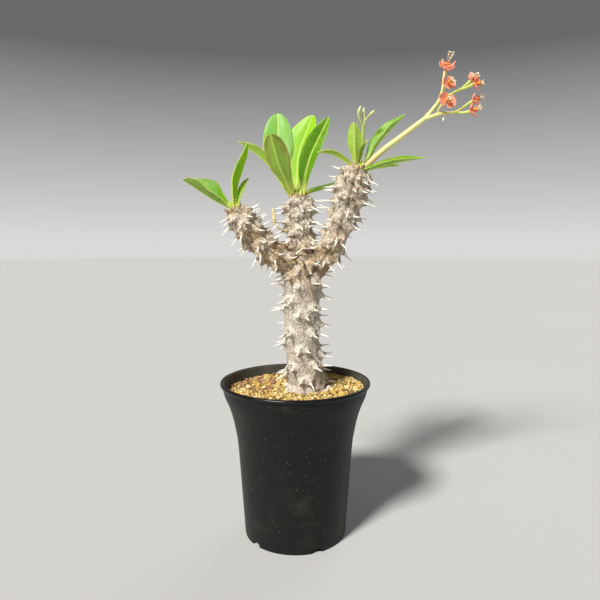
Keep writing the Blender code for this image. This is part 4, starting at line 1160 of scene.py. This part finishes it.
# Flower stalk and bud spray
stalk = {
    "sides": 18, "voxel": 0.24, "budVoxel": 0.2, "forkReach": 1.5, "budForkReach": 1.2,
    # at the foot, in the middle, at the top and in the stains
    "colours": ((0.62, 0.36, 0.22), (0.72, 0.66, 0.27), (0.52, 0.60, 0.13), (0.70, 0.45, 0.25)),
    "budColours": ((0.30, 0.38, 0.07), (0.38, 0.46, 0.09), (0.62, 0.62, 0.36), (0.3, 0.24, 0.08)),
    "runs": [
        {"points": [(43.8, -4.4, 253.2), (56.5, -5, 265.2), (69.4, -6, 275), (85.5, -7.5, 287)],
         "radii": [2.1, 2.0, 1.8, 1.5]},
        {"points": [(84.5, -7.5, 286.3), (90, -7, 292.5), (94, -8, 298), (96, -8.5, 304.5), (96.4, -9, 311)],
         "radii": [1.3, 1.25, 1.15, 1.1, 0.8]},
        {"points": [(94.5, -8, 299), (102, -5.5, 302.6), (109.6, -3.6, 306.8)], "radii": [1.0, 0.9, 0.9]},
        {"points": [(84, -7.5, 286.2), (89.5, -9, 287.8), (94.4, -10, 289.2), (100, -9, 290),
                    (106.4, -8, 290.8)],
         "radii": [1.35, 1.3, 1.25, 1.05, 0.9]},
    ],
    "pedicelRadii": [0.75, 0.85, 1.25],
    "forks": [(85, -7.5, 286.8), (95, -8, 300.2), (95, -9.8, 289.4), (108.4, -4, 306), (105.6, -8, 290.7)],
    "forkShape": [(0, -1.5), (1.1, -0.9), (1.55, 0), (1.1, 0.9), (0, 1.4)], "forkAxis": (0.75, 0, 0.65),
    "budForks": [(45.5, 0, 283), (46.6, 0.4, 286.6)],
    "buds": [
        {"points": [(41.4, 0.4, 255.6), (44.4, 1.2, 264), (45.4, 0, 274), (45.6, 0, 284)],
         "radii": [1.0, 1.0, 1.1, 1.0]},
        {"points": [(45.5, 0, 282.5), (42.6, -1.4, 289), (42.6, -2, 293), (43.9, -2, 296.2)],
         "radii": [0.7, 0.8, 1.2, 0.4]},
        {"points": [(45.5, 0, 282.5), (46.8, 0.6, 287), (46, 1.6, 291), (46.2, 2, 296)],
         "radii": [0.75, 0.7, 1.4, 0.4]},
        {"points": [(46.6, 0.4, 286.4), (49, -0.4, 289.6), (51, -0.8, 291.5), (53.1, -1, 293.6)],
         "radii": [0.6, 0.65, 1.2, 0.5]},
    ],
}
blooms = [
    {"pedicel": [(96, -8.5, 304.5), (96.4, -9, 311)], "at": (97.3, -9, 316.6), "tone": 0.75,
     "axis": (0.2, -0.45, 0.87), "bract": (0.5, -0.7, 0), "size": 1.05, "spread": 46, "stamens": 8.7,
     "lobes": ((-0.9, -0.3, 0), (1, 0.1, 0))},
    {"pedicel": [(95.9, -8.3, 302.5), (96.2, -10.5, 305)], "at": (97, -13.2, 307), "tone": 0.9,
     "axis": (0.5, -0.82, 0.22), "bract": (1, 0.3, 0.4), "size": 0.95, "spread": 68, "stamens": 4},
    {"pedicel": [(93, -9.7, 288.8), (93.4, -11.8, 292.2)], "at": (96, -16.4, 295.6), "tone": 0.8,
     "axis": (0.3, -0.93, 0.12), "bract": (-1, 0, 0.25), "size": 1, "spread": 70, "stamens": 2.5},
    {"pedicel": [(108.2, -3.8, 305.8), (112.6, -1.2, 309.2)], "at": (116.6, 1, 312.6), "tone": 0.6,
     "axis": (0.7, 0.1, 0.6), "bract": (-0.6, -0.3, 0.7), "size": 0.85, "spread": 44, "stamens": 4},
    {"pedicel": [(108.2, -4, 305.8), (112.4, -6, 307)], "at": (116, -8, 308.2), "tone": 0.4,
     "axis": (0.85, -0.5, 0.1), "bract": (0.2, -0.6, -1), "size": 0.75, "spread": 46, "stamens": 3.5},
    {"pedicel": [(105.2, -8, 290.6), (111.5, -5.5, 295)], "at": (117.2, -3, 298.8), "tone": 0.45,
     "axis": (0.85, -0.25, 0.4), "bract": (-0.4, 0.1, 0.9), "size": 0.8, "spread": 46, "stamens": 4},
    {"pedicel": [(105.2, -8, 290.6), (109.2, -10, 290)], "at": (113, -12, 290.2), "tone": 0.35,
     "axis": (0.88, -0.35, 0.3), "bract": (-0.3, 0, 1), "size": 0.8, "spread": 46, "stamens": 4},
]


def stalkFinish(name, foot, middle, top, stain):
    finish = Finish(name, Specular_IOR_Level=0.45, Subsurface_Weight=0.1, Subsurface_Scale=0.0015)
    drift, streaks = finish.clouds(4, 3), finish.clouds(0.8, 3)
    rise = finish.mark("rise") + drift * 0.2
    finish.paint(foot, (finish.step(rise, 0.05, 0.4), middle), (finish.step(rise, 0.6, 1.15), top),
                 (finish.step(streaks, 0.5, 0.75) * 0.12, stain),
                 (finish.mark("fork") * 0.35, (0.42, 0.30, 0.12)))
    finish.feed("Roughness", 0.42 + drift * 0.15)
    finish.bump(streaks + drift, 0.12, 0.6)
    return finish


def shareUp(values):
    # 0 at the lowest value and 1 at the highest
    return (values - values.min()) / (values.max() - values.min())


def makeStalks():
    heap = Heap()
    for run in stalk["runs"]:
        heap.add(tube(toMetres(run["points"]), lengths(run["radii"]), stalk["sides"], 30, relief=0.05))
    for bloom in blooms:
        points, axis = toMetres([*bloom["pedicel"], bloom["at"]]), Vector(bloom["axis"]).normalized()
        heap.add(tube(points, lengths(stalk["pedicelRadii"]), stalk["sides"], 14, axis))
    forks = toMetres(stalk["forks"])
    for place in forks:
        heap.add(lathe(stalk["forkShape"], 14, place, Vector(stalk["forkAxis"]).normalized()))
    body = fused(heap, stalk["voxel"])
    places = pointsOf(body)
    finish = stalkFinish("stalk", *stalk["colours"])
    marks = {"rise": shareUp(places[:, 0]), "fork": falloff(distancesTo(places, forks), stalk["forkReach"])}
    finishPiece("flowerStalk", body, marks, finish, ("flower_stalk",))
    heap = Heap()
    for run in stalk["buds"]:
        heap.add(tube(toMetres(run["points"]), lengths(run["radii"]), sides=16, steps=24, relief=0.15))
    body = fused(heap, stalk["budVoxel"])
    places = pointsOf(body)
    finish = stalkFinish("budSpray", *stalk["budColours"])
    forks = toMetres(stalk["budForks"])
    marks = {"rise": shareUp(places[:, 2]) ** 2,
             "fork": falloff(distancesTo(places, forks), stalk["budForkReach"])}
    finishPiece("budSpray", body, marks, finish, ("bud_spray",))


# Blooms: two rounded pink bracts round a small cup with glands and stamens
bract = {"length": 5.8, "width": 9.2, "thickness": 0.6, "root": 1.6, "rootHalf": 0.25, "cupping": 0.25,
         "heights": (0.6, 0.8), "steps": 16, "parts": 17, "collarRadius": 1.5, "collarHeight": 1.2,
         "collar": [(0, 0), (0.85, 0), (1, 0.3), (1, 0.8), (0.8, 1), (0, 1)]}
lobe = {"out": 1.3, "rise": 0.9, "foot": 2.8, "end": 3.6, "half": 1.7, "tone": 1.2}
cup = {
    "seed": 20, "radius": 1.9, "height": 3.0, "gap": 0.3,
    "stamens": 7, "glands": 5, "stamenRadius": 0.17, "antherAside": 0.27,
    # outlines as (radius, height); the cup's is in shares of its own radius and height
    "outline": [(0, 0), (0.5, 0), (0.6, 0.2), (0.7, 0.5), (0.88, 0.72), (1, 0.86), (0.97, 0.95), (0.84, 1),
                (0.7, 0.93), (0.55, 0.75), (0, 0.7)],
    "gland": [(0, -0.2), (0.5, 0), (0.62, 0.25), (0.4, 0.45), (0, 0.38)],
    "anther": [(0, -0.42), (0.3, -0.2), (0.36, 0.05), (0.22, 0.3), (0, 0.4)],
}


def bloomFrame(bloom):
    axis = Vector(bloom["axis"]).normalized()
    first = Vector(bloom["bract"])
    first = (first - axis * first.dot(axis)).normalized()
    return Vector(bloom["at"]) * mm + axis * cup["gap"] * mm, axis, first, axis.cross(first)


def bractShape(rib, face, widest, seed):
    # A rounded, slightly cupped blade, with the marks of its points
    steps = [math.sin(math.pi / 2 * i / bract["steps"]) for i in range(bract["steps"] + 1)]
    narrow = bract["rootHalf"] * mm
    upper, lower, along, across = [], [], [], []
    for t, (centre, _, normal, side) in zip(steps, framesAlong([curveAt(rib, t) for t in steps], face)):
        half = narrow + (widest - narrow) * math.sin(math.pi * (0.1 + 0.9 * t)) ** 0.55
        over, under = [], []
        for j in range(bract["parts"]):
            part = math.sin(math.pi / 2 * (2 * j / (bract["parts"] - 1) - 1))
            ripple = 0.35 * mm * part**2 * noise.noise(Vector((3 * t, 3 * part, 5.3 * seed)))
            crease = -0.18 * mm * math.exp(-((part * half / (0.5 * mm)) ** 2))
            place = centre + (side * part + normal * part**2 * bract["cupping"] * 1.1) * half
            place += normal * (ripple + crease)
            edge = bract["thickness"] / 2 * mm * (1 - 0.4 * max(abs(part), t) ** 6)
            over.append(place + normal * edge)
            under.append(place - normal * edge)
            along.append(t)
            across.append(part)
        upper.append(over)
        lower.append(under)
    return sheet(upper, lower), bladeMarks(along, across)


def bractFinish():
    finish = Finish("bract", Specular_IOR_Level=0.35, Subsurface_Weight=0.5, Subsurface_Scale=0.002,
                    Subsurface_Radius=(1.0, 0.4, 0.3))
    along, across, under, tone = (finish.mark(name) for name in ("along", "across", "under", "tone"))
    aside, drift = abs(across), finish.clouds(2.2, 3)
    veins = (aside * 5 / (along + 0.35) + drift * 0.4).folded(0.5)
    finish.paint(
        (0.80, 0.16, 0.13), (tone, (0.98, 0.36, 0.23)),
        (finish.step(drift, 0.4, 0.7) * 0.2, (0.98, 0.45, 0.32)),
        (finish.step(along, 0.4, 0.05) * 0.6, (0.9, 0.22, 0.04)),
        (finish.step(veins, 0.12, 0) * 0.05, (0.6, 0.12, 0.08)),
        (finish.step(aside * 0.7 + along * 0.35, 0.8, 1.0) * 0.3, (0.95, 0.5, 0.38)),
        (under * 0.3, (0.88, 0.46, 0.34)),
    )
    finish.feed("Roughness", 0.45 + drift * 0.12)
    finish.bump(drift, 0.05, 0.5)
    return finish


def cupFinish():
    finish = Finish("cup", Specular_IOR_Level=0.5, Subsurface_Weight=0.1, Subsurface_Scale=0.001)
    kind = finish.mark("kind")  # 0 cup, 0.5 gland, 1 stamen, 2 anther
    drift = finish.clouds(0.8, 3)
    finish.paint((0.62, 0.13, 0.02), (drift, (0.86, 0.3, 0.05)),
                 (finish.step(kind, 0.2, 0.45), (0.86, 0.5, 0.06)),
                 (finish.step(kind, 0.6, 0.9), (0.88, 0.55, 0.32)),
                 (finish.step(kind, 1.3, 1.8), (0.93, 0.85, 0.6)))
    finish.feed("Roughness", 0.35 + drift * 0.25)
    finish.bump(drift, 0.1, 0.6)
    return finish


def bloomBracts(bloom, i):
    at, axis, first, _ = bloomFrame(bloom)
    size, radius = bloom["size"], bract["collarRadius"]
    heap = Heap()
    collar = lathe([(r * radius, h * bract["collarHeight"]) for r, h in bract["collar"]], 24, at, axis)
    heap.add(collar, along=0.1, across=0.3, under=1, tone=bloom["tone"])
    spread = math.radians(bloom["spread"])
    for out, height in ((first, bract["heights"][0]), (-first, bract["heights"][1])):
        reach = axis * math.cos(spread) + out * math.sin(spread)
        root = at + axis * height * mm + out * 0.5 * radius * mm
        bend = root + out * bract["root"] * mm + axis * 0.3 * mm
        tip = bend + reach * (bract["length"] * size - bract["root"]) * mm
        half = bract["width"] * size / 2 * mm
        shape, marks = bractShape([root, bend, tip], axis * 1.2 - out, half, i + height)
        heap.add(shape, tone=bloom["tone"], **marks)
    for out in bloom.get("lobes", ()):
        # Narrow paler lobes that stand up behind the cup
        out = Vector(out)
        out = (out - axis * out.dot(axis)).normalized()
        root = at + out * lobe["out"] * (radius * mm) + axis * lobe["rise"] * mm
        bend = root + (axis + out * 0.7).normalized() * lobe["foot"] * mm
        tip = bend + (axis + out * 0.35).normalized() * lobe["end"] * mm
        shape, marks = bractShape([root, bend, tip], axis * 0.3 - out, lobe["half"] * mm, i)
        heap.add(shape, tone=lobe["tone"], **marks)
    return heap


def bloomCentre(bloom, i):
    at, axis, first, second = bloomFrame(bloom)
    wide, high = cup["radius"], cup["height"]
    heap = Heap()
    base = at + axis * (bract["collarHeight"] + cup["gap"]) * mm
    heap.add(lathe([(r * wide, h * high) for r, h in cup["outline"]], 30, base, axis), kind=0)
    for j in range(cup["glands"]):
        out = towards(first, second, math.tau * (j + 0.3) / cup["glands"])
        foot = base + (axis * 0.84 * high + out * 0.82 * wide) * mm
        heap.add(lathe(cup["gland"], 12, foot, (axis * 0.9 + out * 0.5).normalized()), kind=0.5)
    draw = random.Random(cup["seed"] + i)
    thin = cup["stamenRadius"]
    for j in range(cup["stamens"]):
        out = towards(first, second, spiral * j)
        foot = base + (axis * 0.6 * high + out * draw.uniform(0.1, 0.5) * wide) * mm
        lean = (axis + out * draw.uniform(0.1, 0.35)).normalized()
        reach = bloom["stamens"] * draw.uniform(0.5, 0.95) + 0.2 * high
        thread = [(0, 0), (thin, 0), (0.8 * thin, 0.5 * reach), (0.9 * thin, reach - 0.5), (0, reach - 0.2)]
        heap.add(lathe(thread, 8, foot, lean), kind=1)
        for hand in (-1, 1):
            aside = lean.cross(out).normalized() * cup["antherAside"] * mm * hand
            heap.add(lathe(cup["anther"], 8, foot + lean * (reach - 0.3) * mm + aside, lean), kind=2)
    return heap


def makeBlooms():
    pink, orange = bractFinish(), cupFinish()
    for i, bloom in enumerate(blooms, 1):
        addPiece(f"bloom{i}Bracts", bloomBracts(bloom, i), pink, (f"bloom_{i}_bracts",))
        addPiece(f"bloom{i}Centre", bloomCentre(bloom, i), orange, (f"bloom_{i}_centre",))


# Dead parts that stay on the plant
dried = {
    "stalk": {
        "points": [(4.8, -9, 193.2), (5, -15, 191), (7.4, -16.4, 180.5), (11.2, -15.6, 171.5),
                   (13.4, -14.2, 165.8)],
        "radii": [0.9, 0.9, 0.8, 0.7, 0.5], "dark": (0.26, 0.17, 0.09), "light": (0.55, 0.42, 0.26),
    },
    "leaf": {
        "points": [(-3.2, 3.6, 214.2), (-9.6, 1.4, 214.8), (-13.6, 0, 218), (-14.4, 0, 223), (-15, 0, 228.8)],
        "radii": [0.5, 0.55, 0.75, 1.2, 1.0], "dark": (0.62, 0.45, 0.17), "light": (0.86, 0.72, 0.42),
    },
}
witheredBract = {
    "thread": [(97.2, -9.6, 289.4), (97.4, -9.4, 287.8), (97, -9, 286.4)], "radii": [0.12] * 3,
    "outline": [(0, 1.6), (0.35, 1.1), (0.75, 0.1), (0.85, -0.7), (0.55, -1.5), (0, -1.9)],
    "dark": (0.55, 0.5, 0.42), "light": (0.9, 0.87, 0.8),
}


def driedFinish(name, facts):
    finish = Finish(name, Specular_IOR_Level=0.3)
    drift, fibres = finish.clouds(2.5, 4), finish.clouds(0.5, 3)
    finish.paint(facts["dark"], (finish.step(drift, 0.3, 0.7), facts["light"]),
                 (finish.step(fibres, 0.5, 0.7) * 0.4, tuple(0.4 * part for part in facts["dark"])))
    finish.feed("Roughness", 0.7 + drift * 0.15)
    finish.bump(fibres + drift, 0.15, 0.8)
    return finish


def makeDried():
    for name, facts in dried.items():
        heap = Heap()
        heap.add(tube(toMetres(facts["points"]), lengths(facts["radii"]), sides=14, steps=44, relief=0.45))
        node = "dried_" + name
        addPiece(node + "_fine", heap, driedFinish(node, facts), (node,))
    heap = Heap()
    thread = toMetres(witheredBract["thread"])
    heap.add(tube(thread, lengths(witheredBract["radii"]), sides=8, steps=8))
    heap.add(lathe(witheredBract["outline"], 14, thread[-1]))
    addPiece("witheredBract", heap, driedFinish("withered", witheredBract))


# Floor, light and camera
studio = {
    "floor": (0.53, 0.525, 0.51), "floorSides": 96, "floorRadii": (0.5, 6),
    "airLow": (1.0, 0.99, 0.97), "airHigh": (0.2, 0.203, 0.21),
    "airRise": 0.3, "airStrength": 0.7,
    "camera": (3.3, -385.5, 208.4), "cameraTilt": 6.233, "lens": 33.6,
    # which way each soft light comes from, with its strength and how wide it looks, in degrees
    "lights": [
        {"from": (-0.62, -0.85, 0.95), "strength": 5.0, "wide": 12, "colour": (1, 0.98, 0.94)},
        {"from": (0.5, 0.9, 0.8), "strength": 0.4, "wide": 30, "colour": (0.95, 0.97, 1)},
    ],
}


def floorFinish():
    finish = Finish("floor", Roughness=0.8, Specular_IOR_Level=0.15)
    finish.paint(studio["floor"], (finish.clouds(300, 2), tuple(0.97 * part for part in studio["floor"])))
    return finish


def makeFloor():
    sides = studio["floorSides"]
    rings = [ringAt(Vector((0, 0, 0)), *flat, radius, sides) for radius in studio["floorRadii"]]
    faces = [tuple(range(sides))]
    faces += [(j, sides + j, sides + (j + 1) % sides, (j + 1) % sides) for j in range(sides)]
    mesh = bpy.data.meshes.new("floor")
    mesh.from_pydata(rings[0] + rings[1], [], faces)
    mesh.materials.append(floorFinish().material)
    ground = putIn("floor", mesh)


def makeAir():
    # Pale at the level of the eye and greyer higher up
    world = bpy.data.worlds.new("air")
    world.use_nodes = True
    tree = world.node_tree
    place = tree.nodes.new("ShaderNodeTexCoord")
    height = tree.nodes.new("ShaderNodeSeparateXYZ")
    ramp = tree.nodes.new("ShaderNodeValToRGB")
    ramp.color_ramp.elements[0].color = (*studio["airLow"], 1)
    ramp.color_ramp.elements[1].position = studio["airRise"]
    ramp.color_ramp.elements[1].color = (*studio["airHigh"], 1)
    tree.links.new(place.outputs["Generated"], height.inputs[0])
    tree.links.new(height.outputs[2], ramp.inputs[0])
    tree.links.new(ramp.outputs[0], tree.nodes["Background"].inputs["Color"])
    tree.nodes["Background"].inputs["Strength"].default_value = studio["airStrength"]
    bpy.context.scene.world = world


def setStage():
    makeFloor()
    makeAir()
    for i, facts in enumerate(studio["lights"]):
        light = bpy.data.lights.new(f"light{i}", "SUN")
        light.energy, light.color, light.angle = facts["strength"], facts["colour"], math.radians(facts["wide"])
        putIn(f"light{i}", light).rotation_euler = Vector(facts["from"]).to_track_quat("Z", "Y").to_euler()
    lens = bpy.data.cameras.new("camera")
    lens.lens, lens.sensor_width = studio["lens"], 36
    lens.clip_start, lens.clip_end = 0.01, 20
    camera = putIn("camera", lens)
    camera.location = Vector(studio["camera"]) * mm
    camera.rotation_euler = (math.radians(90 - studio["cameraTilt"]), 0, 0)
    bpy.context.scene.camera = camera
    bpy.context.scene.view_settings.view_transform = "Standard"


setStage()
print("stage set")
makePot()
print("pot made")
makeSoilBed()
makeGrains()
print("soil made")
makeStem()
makeScales()
print("stem made")
makeCrowns()
print("leaves made")
makeStalks()
makeBlooms()
print("flowers made")
makeDried()
print("dried parts made")
